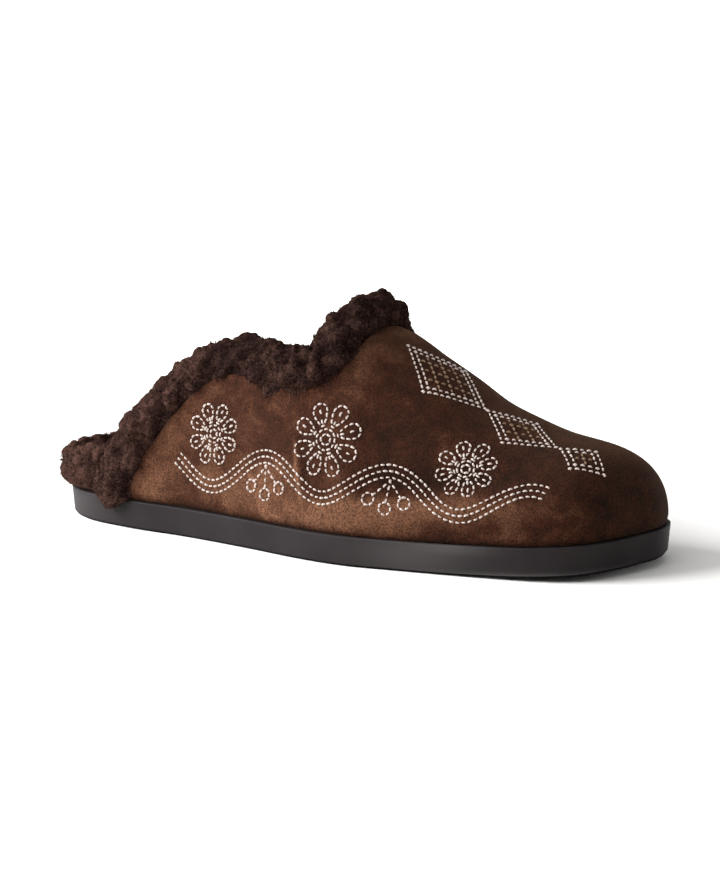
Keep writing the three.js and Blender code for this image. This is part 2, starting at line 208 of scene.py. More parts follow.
def suedeFace(side, x, rise, depth):
    # face of the upper: x along the sole, rise from 0 at the sole to 1 on the ridge
    footX, footY = soleEdge(side, x, last["feather"] + depth)
    top = ridgePlace(x)
    slope = ridge(top + 0.5) - ridge(top - 0.5)  # for each mm
    power = (2 / roundness(top))[:, None]
    inward = 1 - np.maximum(np.cos(np.pi / 2 * rise), 0) ** power
    inward[rise >= 1] = 1
    upward = np.sin(np.pi / 2 * rise) ** power
    px = footX[:, None] + (top - footX)[:, None] * inward
    py = footY[:, None] + (shift(top) - footY)[:, None] * inward
    crown = (ridge(top) - depth)[:, None] + slope[:, None] * (px - top[:, None])
    base = archBase(footX)[:, None]
    return np.stack([px, py, base + (crown - base) * upward], -1)


toplines = {
    side: smoothLine([(a * length, t * last["instep"]) for a, t in zip(topline["along"], topline[side])])
    for side in bothSides
}


def edgeRise(side, x):
    # how far up the arch the topline cuts it
    height = np.interp(x, toplines[side][:, 0], toplines[side][:, 1])
    share = (height - archBase(x)) / (ridge(x) - archBase(x))
    return 2 / np.pi * np.arcsin(np.clip(share, 0, 1) ** (roundness(x) / 2))


print("last:", round(length, 1), "x", round(ballWidth, 1), "mm")


# Small helpers for nodes, colours and meshes

def feed(tree, node, inputs):
    # each input gets a constant, a socket, or a node's first output
    for socket, value in inputs.items():
        if isinstance(value, bpy.types.Node):
            value = value.outputs[0]
        if isinstance(value, bpy.types.NodeSocket):
            tree.links.new(value, node.inputs[socket])
        else:
            node.inputs[socket].default_value = value


def addNode(tree, kind, inputs=None, stops=(), **settings):
    node = tree.nodes.new(kind)
    for name, value in settings.items():
        setattr(node, name, value)
    feed(tree, node, inputs or {})
    if stops:  # places and colours of a ramp, in order
        ramp = node.color_ramp.elements
        ramp[0].position, ramp[1].position = stops[0][0], stops[-1][0]
        for at, _ in stops[1:-1]:
            ramp.new(at)
        for element, (_, colour) in zip(ramp, stops):
            element.color = linear(colour)
    return node


def linear(hexColour):
    # sRGB hex to the linear colour that the shader works in
    values = [int(hexColour[k:k + 2], 16) / 255 for k in (1, 3, 5)]
    return [v / 12.92 if v <= 0.04045 else ((v + 0.055) / 1.055) ** 2.4 for v in values] + [1]


def addObject(name, data):
    thing = bpy.data.objects.new(name, data)
    bpy.context.scene.collection.objects.link(thing)
    return thing


def standOff(thing, place, target=(0, 0, 0)):
    # so far from a target in millimetres, at an angle, looking at it
    a, e = math.radians(place["azimuth"]), math.radians(place["elevation"])
    back = Vector((math.sin(a) * math.cos(e), -math.cos(a) * math.cos(e), math.sin(e)))
    thing.location = (Vector(target) + back * place["distance"]) * mm
    thing.rotation_euler = (-back).to_track_quat("-Z", "Y").to_euler()


def newPiece(name, points, faces, smooth=True):
    mesh = bpy.data.meshes.new(name)
    mesh.from_pydata([tuple(p) for p in points], [], [tuple(f) for f in faces])
    mesh.polygons.foreach_set("use_smooth", [smooth] * len(mesh.polygons))
    return addObject(name, mesh)


def weld(piece, distance=0.02):
    # points closer than this many millimetres become one
    shape = bmesh.new()
    shape.from_mesh(piece.data)
    bmesh.ops.remove_doubles(shape, verts=shape.verts, dist=distance * mm)
    bmesh.ops.dissolve_degenerate(shape, edges=shape.edges, dist=0.001 * mm)
    bmesh.ops.recalc_face_normals(shape, faces=shape.faces)
    shape.to_mesh(piece.data)
    shape.free()
    piece.data.polygons.foreach_set("use_smooth", [True] * len(piece.data.polygons))


def gridFaces(rows, columns, closed=False):
    # quads over a grid of points, closed round each row if asked
    faces = []
    for k in range(0, (rows - 1) * columns, columns):
        for j in range(columns if closed else columns - 1):
            beside = (j + 1) % columns
            faces.append((k + j, k + columns + j, k + columns + beside, k + beside))
    return faces


def readPoints(piece):
    # in millimetres from the tip of the heel
    points = np.empty(len(piece.data.vertices) * 3, np.float32)
    piece.data.vertices.foreach_get("co", points)
    return points.reshape(-1, 3).astype(float) / mm - heelTip


def readNormals(piece):
    normals = np.empty(len(piece.data.vertices) * 3, np.float32)
    piece.data.vertex_normals.foreach_get("vector", normals)
    return normals.reshape(-1, 3).astype(float)


def writePoints(piece, points):
    piece.data.vertices.foreach_set("co", np.asarray(points, np.float32).ravel())
    piece.data.update()


def paint(piece, name, values):
    layer = piece.data.attributes.get(name) or piece.data.attributes.new(name, "FLOAT", "POINT")
    layer.data.foreach_set("value", np.broadcast_to(values, len(piece.data.vertices)).astype(np.float32))


def surfaceOf(piece):
    mesh = piece.data
    return BVHTree.FromPolygons([v.co for v in mesh.vertices], [p.vertices for p in mesh.polygons])


def addWall(piece, thickness):
    wall = piece.modifiers.new("wall", "SOLIDIFY")
    wall.thickness = thickness * mm
    wall.offset = -1
    makePlain(piece)


def makePlain(piece):
    # modifiers become plain mesh
    graph = bpy.context.evaluated_depsgraph_get()
    mesh = bpy.data.meshes.new_from_object(
        piece.evaluated_get(graph), preserve_all_data_layers=True, depsgraph=graph)
    piece.modifiers.clear()
    piece.data = mesh
    mesh.name = piece.name


def startTree(name, inputs, output):
    # a Geometry Nodes tree with named inputs and one output
    tree = bpy.data.node_groups.new(name, "GeometryNodeTree")
    for socket, kind in inputs.items():
        tree.interface.new_socket(socket, in_out="INPUT", socket_type="NodeSocket" + kind)
    tree.interface.new_socket(output, in_out="OUTPUT", socket_type="NodeSocketGeometry")
    return tree, addNode(tree, "NodeGroupInput").outputs


def endTree(tree, geometry, material):
    rounded = addNode(tree, "GeometryNodeSetShadeSmooth", {"Geometry": geometry})
    finished = addNode(tree, "GeometryNodeSetMaterial", {"Geometry": rounded, "Material": material})
    addNode(tree, "NodeGroupOutput", {0: finished})
    return tree


def applyTree(piece, tree, values):
    # a node tree on a piece, its named inputs set by identifier, made plain mesh
    modifier = piece.modifiers.new(tree.name, "NODES")
    modifier.node_group = tree
    sockets = {s.name: s.identifier for s in tree.interface.items_tree if s.in_out == "INPUT"}
    for name, value in values.items():
        modifier[sockets[name]] = value
    makePlain(piece)


def triangles(piece):
    return sum(len(p.vertices) - 2 for p in piece.data.polygons)


# Materials

def startMaterial(name, look, patterns, marks=()):
    # a material with its noise patterns, each a size in mm with its settings, and its painted marks
    material = bpy.data.materials.new(name)
    material.use_nodes = True
    tree = material.node_tree
    place = addNode(tree, "ShaderNodeTexCoord").outputs["Object"]
    parts = [
        addNode(tree, "ShaderNodeTexNoise", {"Vector": place, "Scale": 1 / (size * mm), **settings})
        for size, settings in (look[pattern] for pattern in patterns)
    ]
    parts += [addNode(tree, "ShaderNodeAttribute", attribute_name=mark).outputs["Fac"] for mark in marks]
    return material, tree, parts


def endMaterial(material, look, colour, height, inputs=None):
    tree = material.node_tree
    bump = addNode(tree, "ShaderNodeBump", {"Height": height, **look["relief"]})
    feed(tree, tree.nodes["Principled BSDF"], {
        "Base Color": colour, "Normal": bump, **look["surface"], **(inputs or {})})
    return material


# Moulded rubber, matt from the mould: an even dark side with hardly any gloss, with painted highlights and a
# painted floor reflection on its side and painted shade on the tread under it
rubber = {
    "tones": ((0.3, "#1f1b1c"), (0.75, "#282425")),  # dark and worn
    "marks": {"paintedHighlight": "#4a4747", "shadedTread": "#080707"},  # painted highlight and floor reflection on the sole's side, and painted shade on the tread under it
    "cloud": (26, {"Detail": 4.0}),  # mm, faint clouding
    "grain": (1.1, {"Detail": 2.0}),  # mm, mould texture, coarser than the real one so that it shows
    "relief": {"Strength": 0.08, "Distance": 0.1 * mm},
    "roughness": {"To Min": 0.46, "To Max": 0.58},
    "surface": {"IOR": 1.5, "Specular IOR Level": 0.06},
}


def rubberMaterial():
    material, tree, (cloud, grain, *marks) = startMaterial(
        "mouldedRubber", rubber, ("cloud", "grain"), rubber["marks"])
    dyed = addNode(tree, "ShaderNodeValToRGB", {"Fac": cloud}, rubber["tones"]).outputs["Color"]
    # painted highlight and reflection, then painted shade on the tread, over the rubber's tone
    for mark, colour in zip(marks, rubber["marks"].values()):
        dyed = addNode(tree, "ShaderNodeMix", {
            "Factor": mark, 6: dyed, 7: linear(colour)}, data_type="RGBA").outputs[2]
    gloss = addNode(tree, "ShaderNodeMapRange", {"Value": cloud, **rubber["roughness"]})
    return endMaterial(material, rubber, dyed, grain, {"Roughness": gloss})


# Brushed suede, dyed through: a matt nap that lies this way and that, lighter where it is rubbed, with
# painted light and shade laid over it
suede = {
    "tones": ((0.26, "#190c06"), (0.58, "#31190e"), (0.98, "#5b3d2c")),  # deep, body, and rubbed or in painted light
    "cloud": (38, {"Detail": 3.0, "Roughness": 0.55}),  # mm, large shade patches
    "patch": (10, {"Detail": 5.0, "Roughness": 0.58, "Distortion": 0.6}),  # mm, finger marks in the nap
    "nap": (1.1, {"Detail": 3.0, "Roughness": 0.75}),  # mm, tufts, drawn coarser than real so that they show
    "speck": (0.55, {"Detail": 1.0}),  # mm, single fibres catching light, coarser than real as well
    "weights": (-0.06, 0.5, 0.76, 0.34),  # start of the shade, then cloud, patch, and rubbed places with painted light and shade
    "napTone": {"From Min": 0.7, "From Max": 1.3, "To Min": 0.4, "To Max": 1.6},  # tufts against the body
    "relief": {"Strength": 0.8, "Distance": 0.5 * mm},
    "surface": {
        "Roughness": 0.92, "Specular IOR Level": 0.08,
        "Sheen Weight": 0.14, "Sheen Roughness": 0.35, "Sheen Tint": linear("#b58a6c"),
    },
}


def suedeMaterial():
    material, tree, (cloud, patch, nap, speck, rubAndPaintedLight) = startMaterial(
        "brushedSuede", suede, ("cloud", "patch", "nap", "speck"), ("rubAndPaintedLight",))
    # large patches, finger marks, rubbed places and painted light and shade set the tone
    shade, *weights = suede["weights"]
    for part, weight in zip((cloud, patch, rubAndPaintedLight), weights):
        shade = addNode(tree, "ShaderNodeMath", {0: part, 1: weight, 2: shade}, operation="MULTIPLY_ADD")
    tone = addNode(tree, "ShaderNodeValToRGB", {"Fac": shade}, suede["tones"])
    # the nap's own tufts speckle it
    fibres = addNode(tree, "ShaderNodeMath", {0: speck, 1: nap}, operation="ADD")
    speckle = addNode(tree, "ShaderNodeMapRange", {"Value": fibres, **suede["napTone"]})
    dyed = addNode(tree, "ShaderNodeMix", {
        "Factor": 1.0, 6: tone, 7: speckle}, data_type="RGBA", blend_type="MULTIPLY")
    return endMaterial(material, suede, dyed.outputs[2], fibres)


# Curly sheepskin, dyed dark: matted wool, with painted shade between the curls and at their roots, painted
# light on their tips where fibres catch it, and painted light and shade along the cuff
fleece = {
    "tones": ((0.12, "#090403"), (0.5, "#1c110f"), (0.95, "#47322b")),  # root in painted shade, body, and tip in painted light
    "clump": (11, {"Detail": 3.0}),  # mm, shade from lock to lock
    "curl": (2.0, {"Detail": 4.0, "Roughness": 0.65, "Distortion": 1.4}),  # mm, one curl
    "fibre": (0.8, {"Detail": 2.0, "Distortion": 0.8}),  # mm, drawn coarser than a hair so that it shows
    "weights": (-0.59, 0.34, 0.3, 0.1, 0.45, 1.2),  # start, then painted tip light, tint with painted light, clump, curl and fibre
    "curlRelief": 1.3,  # a curl's height against a fibre's
    "relief": {"Strength": 0.8, "Distance": 0.7 * mm},
    "surface": {
        "Roughness": 0.95, "Specular IOR Level": 0.03,
        "Sheen Weight": 0.05, "Sheen Roughness": 0.5, "Sheen Tint": linear("#8f6052"),
    },
}


def fleeceMaterial():
    material, tree, (clump, curl, fibre, tip, shade) = startMaterial(
        "curlySheepskin", fleece, ("clump", "curl", "fibre"), ("paintedTipLight", "curlTintAndPaintedLight"))
    level, *weights = fleece["weights"]
    for part, weight in zip((tip, shade, clump, curl, fibre), weights):
        level = addNode(tree, "ShaderNodeMath", {0: part, 1: weight, 2: level}, operation="MULTIPLY_ADD")
    tone = addNode(tree, "ShaderNodeValToRGB", {"Fac": level}, fleece["tones"])
    height = addNode(tree, "ShaderNodeMath", {
        0: curl, 1: fleece["curlRelief"], 2: fibre}, operation="MULTIPLY_ADD")
    return endMaterial(material, fleece, tone, height)


# Cotton embroidery thread, two plies: soft white strands with a slight shine along them
thread = {
    "cream": "#c2b4ad",
    "tan": "#7a5e45",
    "ply": (0.35, {"Detail": 1.0}),  # mm
    "plyPaintedShade": {"From Min": 0.3, "From Max": 0.6, "To Min": 0.62},  # painted shade between the plies
    "relief": {"Strength": 0.4, "Distance": 0.1 * mm},
    "surface": {"Roughness": 0.6, "Specular IOR Level": 0.3, "Sheen Weight": 0.15},
}


def threadMaterial(colour):
    material, tree, (ply,) = startMaterial(colour + "Cotton", thread, ("ply",))
    share = addNode(tree, "ShaderNodeMapRange", {"Value": ply, **thread["plyPaintedShade"]})
    dyed = addNode(tree, "ShaderNodeMix", {
        "Factor": 1.0, 6: linear(thread[colour]), 7: share}, data_type="RGBA", blend_type="MULTIPLY")
    return endMaterial(material, thread, dyed.outputs[2], ply)


rubberFinish = rubberMaterial()
suedeFinish = suedeMaterial()
fleeceFinish = fleeceMaterial()
print("materials:", len(bpy.data.materials))


# Camera at the photograph's angle, aimed at the shoe

camera = {
    "azimuth": 31.25,
    "elevation": 10.5,
    "distance": 1300,  # mm
    "target": (6, 1.75, 43),  # mm in the frame
    "lens": 131,  # mm
    "clipEnd": 100,  # m
}


def makeCamera():
    eye = addObject("camera", bpy.data.cameras.new("camera"))
    eye.data.lens = camera["lens"]
    eye.data.clip_end = camera["clipEnd"]
    standOff(eye, camera, camera["target"])
    bpy.context.scene.camera = eye


makeCamera()


# Outsole: one rubber slab, its side and round edges

sole = {
    "stations": 260,
    "topRound": 0.6,  # mm
    "draft": 0.9,  # the side leans in this much towards the floor
    "footRound": 0.7,  # mm, rounding of the lower edge
    "shadedTread": 0.9,  # mm, a thin tread under it, painted near black as the shade beneath the sole
    "treadStep": 0.05,  # mm that it stands back
    "treadRound": 0.3,  # mm
    "treadBelow": 0.03,  # mm under its top, where the painted shade starts
    "roundSteps": 5,
    "sideSteps": 9,
    "flatFrom": 7,  # mm, inside this the faces are flat
}
# Painted highlights on the outer side, among them a painted reflection of the floor on the lower edge: x from
# the heel and height, reach along and up, all in mm, and amount
soleHighlightSpots = (
    (189, 7, 23, 9, 0.5),
    (207, 11, 14, 2.2, 0.5),
    (233, 1.2, 30, 0.4, 1.0),
    (6, 6, 22, 10, 0.25),
)


def bend(start, corner, end):
    w = np.linspace(0, 1, sole["roundSteps"] + 1)[:, None]
    start, corner, end = (np.array(p, float) for p in (start, corner, end))
    return (1 - w) ** 2 * start + 2 * w * (1 - w) * corner + w ** 2 * end


def softSpots(sideView, spots):
    total = np.zeros(len(sideView))
    for x, height, reachAlong, reachUp, amount in spots:
        away = (sideView - (x, height)) / (reachAlong, reachUp)
        total += amount * np.exp(-(away ** 2).sum(1))
    return total


def makeSole():
    thick, top, draft = last["soleThick"], sole["topRound"], sole["draft"]
    foot, shadedTread = sole["footRound"], sole["shadedTread"]
    under, step = draft + foot, sole["treadStep"]
    profile = np.vstack([
        [(sole["flatFrom"], thick)],
        bend((top, thick), (0, thick), (0, thick - top)),
        np.linspace((0, thick - top), (draft, shadedTread + foot), sole["sideSteps"])[1:-1],
        bend((draft, shadedTread + foot), (draft, shadedTread), (under, shadedTread)),
        [(under + step, shadedTread - step), (under + step, sole["treadRound"])],
        [(under + sole["treadRound"], 0), (sole["flatFrom"], 0)],
    ])
    x = soleStations(sole["stations"])
    lines = {}
    for side in bothSides:
        px, py = zip(*(soleEdge(side, x, inset) for inset, _ in profile))
        px, py = np.stack(px, 1), np.stack(py, 1)
        lines[side] = np.stack([px, py, profile[None, :, 1] + spring(px)], -1)
    rings = np.concatenate([lines["outer"][:, ::-1], lines["inner"]], 1)
    faces = gridFaces(len(x), rings.shape[1], closed=True)
    piece = newPiece("rubberSole", inFrame(rings.reshape(-1, 3)), faces)
    weld(piece)
    own = readPoints(piece)
    sideView = np.stack([own[:, 0], own[:, 2] - spring(own[:, 0])], 1)
    # painted highlights and floor reflection on the outer side
    paint(piece, "paintedHighlight", softSpots(sideView, soleHighlightSpots) * (own[:, 1] < 0))
    # painted shade: the tread under the sole goes near black
    paint(piece, "shadedTread", sideView[:, 1] < shadedTread - sole["treadBelow"])
    piece.data.materials.append(rubberFinish)
    return piece


rubberSole = makeSole()
print("sole:", triangles(rubberSole), "triangles")


# Upper: one suede shell, cut along the topline, with its creases, rubbed places, and painted light and shade

shell = {
    "columnStep": 0.9,  # mm along the topline
    "rows": 72,  # from the sole to the topline or the ridge, on each side
    "toeColumns": 64,
    "rearLift": 0.1,  # mm, the topline starts this far above the suede's foot
    "fanGap": 0.5,  # mm left before the columns round the toe
    "tuck": (0.7, 1.8),  # the foot of the suede turns in by this, over this height
    "footFlat": 0.5,  # mm, below this the suede only moves sideways
    "wave": 0.35,  # mm, slow unevenness of the hide
    "waveReach": (17, 23, 11, 29),
    "shaded": (-0.6, 2.2),  # painted shade at the joint with the sole: darker by this, over this height
    "creaseEnds": (0.02, 0.6),  # share left out at a crease's ends, and how fast it fades to them
    "faintBelow": 45,  # mm, on the inner side the rubbed places and painted light fade below this height
    "faint": (140, 100, 0.6),  # from here, over this, and the least
}
# Troughs and ridges of the outer side: x from the heel and height, half width and depth in mm, and the nap's
# change, with painted shade in the troughs and painted light on the ridges
creases = (
    (((138, 52), (141, 40), (144, 26)), 2.4, -0.8, -0.6),
    (((135, 49), (137.5, 36), (140.8, 21)), 0.9, 0.4, 1.5),
    (((146, 50), (149, 36), (148, 22)), 6.5, -0.9, -0.3),
    (((112, 31.5), (118, 23.3), (125.3, 16.7), (131, 14)), 0.9, 0.4, 1.7),
    (((117, 19.7), (120.2, 15.8), (124, 12.8)), 0.8, 0.4, 1.7),
    (((105, 32), (112, 22), (117, 14)), 3, -0.4, -0.3),
    (((152, 22), (178, 23), (205, 25), (232, 28), (250, 31)), 6, 1.5, 0.7),
    (((165, 35), (190, 36), (215, 39), (238, 42)), 6, -1.3, -0.6),
    (((66, 44), (80, 55), (98, 63)), 5, 0.5, 0.25),
    (((158, 70), (172, 58), (190, 50)), 9, -0.7, -0.3),
)
# Places lighter (above 0) or darker, partly rubbed nap and partly painted light on the quarter that faces the
# key light and painted shade on the toe front: x and height, reach along and up, amount
rubsAndPaintedLight = (
    (121, 27, 17, 11, 1.0),
    (160, 20.5, 20, 7, 1.0),
    (143, 15, 18, 5, 0.55),
    (107, 19, 16, 8, 0.5),
    (75, 38, 18, 16, 0.45),
    (106, 62, 24, 7, -0.15),
    (147, 38, 7, 14, -0.3),
    (88, 24, 12, 8, 0.35),
    (58, 21, 13, 10, 0.75),
    (150, 81, 13, 14, 0.6),
    (178, 76, 26, 18, -0.25),
    (215, 48, 36, 16, -0.15),
    (176, 24, 26, 5, 0.45),
    (203, 25, 18, 5, 0.3),
    (168, 63, 16, 9, 0.55),
    (221, 19, 14, 6, -0.25),
    (190, 37, 28, 5, -0.25),
    (270, 30, 20, 24, -0.75),
)


def distanceToLine(points, line):
    # nearest distance to a line of a few points, and the share of the line there
    line = np.array(line, float)
    steps = np.linalg.norm(np.diff(line, axis=0), axis=1)
    before = runLength(line)
    best, share = np.full(len(points), np.inf), np.zeros(len(points))
    for k, (a, b) in enumerate(zip(line[:-1], line[1:])):
        w = np.clip((points - a) @ (b - a) / steps[k] ** 2, 0, 1)
        d = np.linalg.norm(points - a - w[:, None] * (b - a), axis=1)
        near = d < best
        best[near], share[near] = d[near], ((before[k] + w * steps[k]) / before[-1])[near]
    return best, share


def upperColumns():
    # places along the sole, spaced as the topline needs, then round the toe
    line = toplines["outer"]
    first = line[:2 * lineSteps]  # its first two stretches
    rear = np.interp(archBase(0) + shell["rearLift"], first[:, 1], first[:, 0])
    throat = line[np.argmax(line[:, 1] >= ridge(line[:, 0])), 0]
    run = line[(line[:, 0] >= rear) & (line[:, 0] <= throat)]
    way = runLength(run)
    quarter = np.interp(np.arange(0, way[-1], shell["columnStep"]), way, run[:, 0])
    vamp = np.arange(throat, fanStart - shell["fanGap"], shell["columnStep"])
    toe = fanStart + (length - fanStart) * np.sin(np.pi / 2 * np.linspace(0, 1, shell["toeColumns"]))
    return np.concatenate([[rear], quarter[1:], vamp, toe])


def makeShell(name, x, rowCount, depth=0.0, below=1.0):
    # both sides of a shell that follows the suede from the sole to a share of the topline's height
    rows = np.linspace(0, 1, rowCount + 1)
    points, faces = [], []
    for side in bothSides:
        cut = edgeRise(side, np.minimum(x, fanStart))
        cut = np.where(cut < 1, cut * below, 1)
        start = sum(len(p) for p in points)
        points.append(suedeFace(side, x, cut[:, None] * rows[None, :], depth).reshape(-1, 3))
        faces += [[start + i for i in face] for face in gridFaces(len(x), len(rows))]
    return newPiece(name, inFrame(np.vstack(points)), faces)


def makeUpper():
    piece = makeShell("suedeUpper", upperColumns(), shell["rows"])
    weld(piece, distance=0.05)
    own, normals = readPoints(piece), readNormals(piece)
    x, y, z = own.T
    outside = y < shift(x)
    sideView = own[:, [0, 2]]
    out, rubAndPaintedLight = np.zeros(len(own)), np.zeros(len(own))
    skipped, power = shell["creaseEnds"]
    for line, width, depth, nap in creases:
        distance, share = distanceToLine(sideView, line)
        soft = bell(distance / width) * np.sin(np.pi * np.clip(share, skipped, 1 - skipped)) ** power
        out += np.where(outside, depth * soft, 0)
        # painted shade in the troughs and painted light on the ridges, with the nap's change along them
        rubAndPaintedLight += np.where(outside, nap * soft, 0)
    rubAndLightShare = np.where(outside | (z > shell["faintBelow"]), 1, fade(x, *shell["faint"]))
    # rubbed places, with painted light and shade
    rubAndPaintedLight += softSpots(sideView, rubsAndPaintedLight) * rubAndLightShare
    reach = shell["waveReach"]
    out += shell["wave"] * np.sin(x / reach[0] + y / reach[1]) * np.sin(z / reach[2] + x / reach[3])
    above = z - archBase(x)
    out -= shell["tuck"][0] * bell(above / shell["tuck"][1])
    # painted shade along the joint with the sole
    rubAndPaintedLight += shell["shaded"][0] * bell(above / shell["shaded"][1])
    move = normals * out[:, None]
    move[above < shell["footFlat"], 2] = 0
    writePoints(piece, inFrame(own + move))
    # rubbed nap with painted light and shade, read by the suede's colour
    paint(piece, "rubAndPaintedLight", rubAndPaintedLight)
    face = surfaceOf(piece)
    addWall(piece, last["wall"])
    piece.data.materials.append(suedeFinish)
    return piece, face


suedeUpper, suedeSurface = makeUpper()
print("upper:", triangles(suedeUpper), "triangles")


# Embroidery: running stitches in cotton thread, a flower scroll on the sides and a lattice on the vamp

embroidery = {
    # mm from stitch to stitch, half of what shows of each, its thread, and the lift that sets its arch
    "sizes": {"Pitch": 2.5, "Half Stitch": 0.725, "Thread Radius": 0.38, "Lift": 0.4},
    "gap": 2.5,  # mm between rows of stitches
    "peak": 2.4,  # lifts, the point that draws the arch up
    "wobble": 0.15,  # share that a stitch is set askew by
    "sizeRange": {2: 0.85, 3: 1.15},  # sockets of the least and the most
    "castFrom": 150,  # mm, lines are laid on the suede from here
    "facing": 0.1,  # and only where it faces them by this much
    "fewest": 4,  # points, shorter runs are left out
    "seed": 3,
}
scroll = {
    "height": 31, "swing": 7, "period": 58, "troughAt": 92,
    "linePoints": 300,
    "panelAt": 45,  # mm to the side
    "lean": 18,  # degrees, the side of the shoe leans in
    "outer": {"from": 74, "to": 240, "daisies": ((92, 45, 12.5), (150, 47, 15), (207, 43, 11.5))},
    "inner": {"from": 98, "to": 240, "daisies": ((150, 45, 13), (207, 43, 11))},  # along, height, radius
}
daisy = {  # sizes are shares of the radius
    "petals": 8,
    "rings": ((0.14, 16), (0.28, 40)),  # and points on each
    "petal": (0.38, 1, 0.5),  # from, to and width
    "petalTaper": (0.75, 0.35),
    "petalPoints": 30,
    "vein": (0.5, 0.78, 8),  # from, to and points on it
}
sprig = {
    "at": (121, 179),
    "drop": 1.6,  # rows below the scroll
    "tilts": (-0.75, 0, 0.75),  # radians
    "stem": 8,  # mm
    "stemPoints": 12,
    "berryAt": 11,
    "berry": (2.4, 24),  # radius, and points on it
}
medallion = {
    "at": (182, -5.5, 70),
    "tilt": 31,  # degrees down to the toe
    "turn": 13,  # degrees to the outer side
    "diamonds": ((0, 15, 21), (-39, 12.5, 16.5), (-68, 9, 10.5)),  # place, half width, half height
    "rowGap": 2.4,  # mm
    "latticeRow": 1.8,  # rows in from the edge
    "latticeGap": 5.5,  # mm
    "linePoints": 30,
}


def ringLine(centre, radius, count):
    turn = np.linspace(0, 2 * np.pi, count, endpoint=False)
    return np.stack([centre[0] + radius * np.cos(turn), centre[1] + radius * np.sin(turn)], 1), True


def petalLine(centre, angle, inner, outer, width):
    turn = np.linspace(0, 2 * np.pi, daisy["petalPoints"], endpoint=False)
    along = (inner + outer) / 2 - (outer - inner) / 2 * np.cos(turn)
    full, taper = daisy["petalTaper"]
    across = width / 2 * np.sin(turn) * (full - taper * np.cos(turn))
    c, s = math.cos(angle), math.sin(angle)
    return np.stack([centre[0] + along * c - across * s, centre[1] + along * s + across * c], 1), True


def daisyLines(centre, radius):
    lines = [ringLine(centre, share * radius, count) for share, count in daisy["rings"]]
    for k in range(daisy["petals"]):
        angle = 2 * math.pi * (k + 0.5) / daisy["petals"]
        lines.append(petalLine(centre, angle, *(share * radius for share in daisy["petal"])))
        vein = np.array([[math.cos(angle), math.sin(angle)]])
        lines.append((centre + vein * np.linspace(*daisy["vein"])[:, None] * radius, False))
    return lines


def scrollHeight(u):
    turn = 2 * np.pi * (u - scroll["troughAt"]) / scroll["period"]
    return scroll["height"] - scroll["swing"] * np.cos(turn)


def sideLines(side):
    u = np.linspace(scroll[side]["from"], scroll[side]["to"], scroll["linePoints"])
    middle = np.stack([u, scrollHeight(u)], 1)
    way = np.gradient(middle, axis=0)
    across = unit(np.stack([-way[:, 1], way[:, 0]], 1))
    lines = [(middle + across * row * embroidery["gap"], False) for row in (-1, 0, 1)]
    for along, height, radius in scroll[side]["daisies"]:
        lines += daisyLines((along, height), radius)
    for along in sprig["at"]:  # three berries under each crest
        top = scrollHeight(along) - sprig["drop"] * embroidery["gap"]
        for tilt in sprig["tilts"]:
            berry, tip = (
                (along + far * math.sin(tilt), top - far * math.cos(tilt))
                for far in (sprig["berryAt"], sprig["stem"]))
            lines.append((np.linspace((along, top), tip, sprig["stemPoints"]), False))
            lines.append(ringLine(berry, *sprig["berry"]))
    return lines


def medallionLines():
    # a chain of diamonds: two cream rows round a tan lattice
    cream, tan, count = [], [], medallion["linePoints"]
    for down, wide, tall in medallion["diamonds"]:
        middle = np.array((0, down))
        rowShare = medallion["rowGap"] * math.hypot(wide, tall) / (wide * tall)
        for row in (0, 1):
            grow = 1 - row * rowShare
            corners = middle + np.array([(wide, 0), (0, tall), (-wide, 0), (0, -tall), (wide, 0)]) * grow
            cream += [(np.linspace(a, b, count), False) for a, b in zip(corners[:-1], corners[1:])]
        grow = (1 - medallion["latticeRow"] * rowShare) / 2
        rising, falling = np.array((wide, tall)) * grow, np.array((wide, -tall)) * grow
        bars = round(2 * math.hypot(*rising) / medallion["latticeGap"])
        for share in (np.arange(bars) + 0.5) * 2 / bars - 1:
            for start, way in ((share * falling, rising), (share * rising, falling)):
                tan.append((np.linspace(middle + start - way, middle + start + way, count), False))
    return cream, tan


def onSuede(lines, origin, right, up):
    # lay flat lines on the suede, looking along the panel's own direction
    out = right.cross(up).normalized()
    laid = []
    for line, closed in lines:
        run = []
        for u, v in line:
            start = Vector(origin) + right * u + up * v + out * embroidery["castFrom"]
            spot, normal, _, _ = suedeSurface.ray_cast(Vector(inFrame(start)), -out)
            if spot is None or normal.dot(out) < embroidery["facing"]:  # past an edge, or the far wall
                closed = False
                laid.append((run, False))
                run = []
            else:
                run.append((spot, normal))
        laid.append((run, closed))
    return [(run, closed) for run, closed in laid if len(run) >= embroidery["fewest"]]


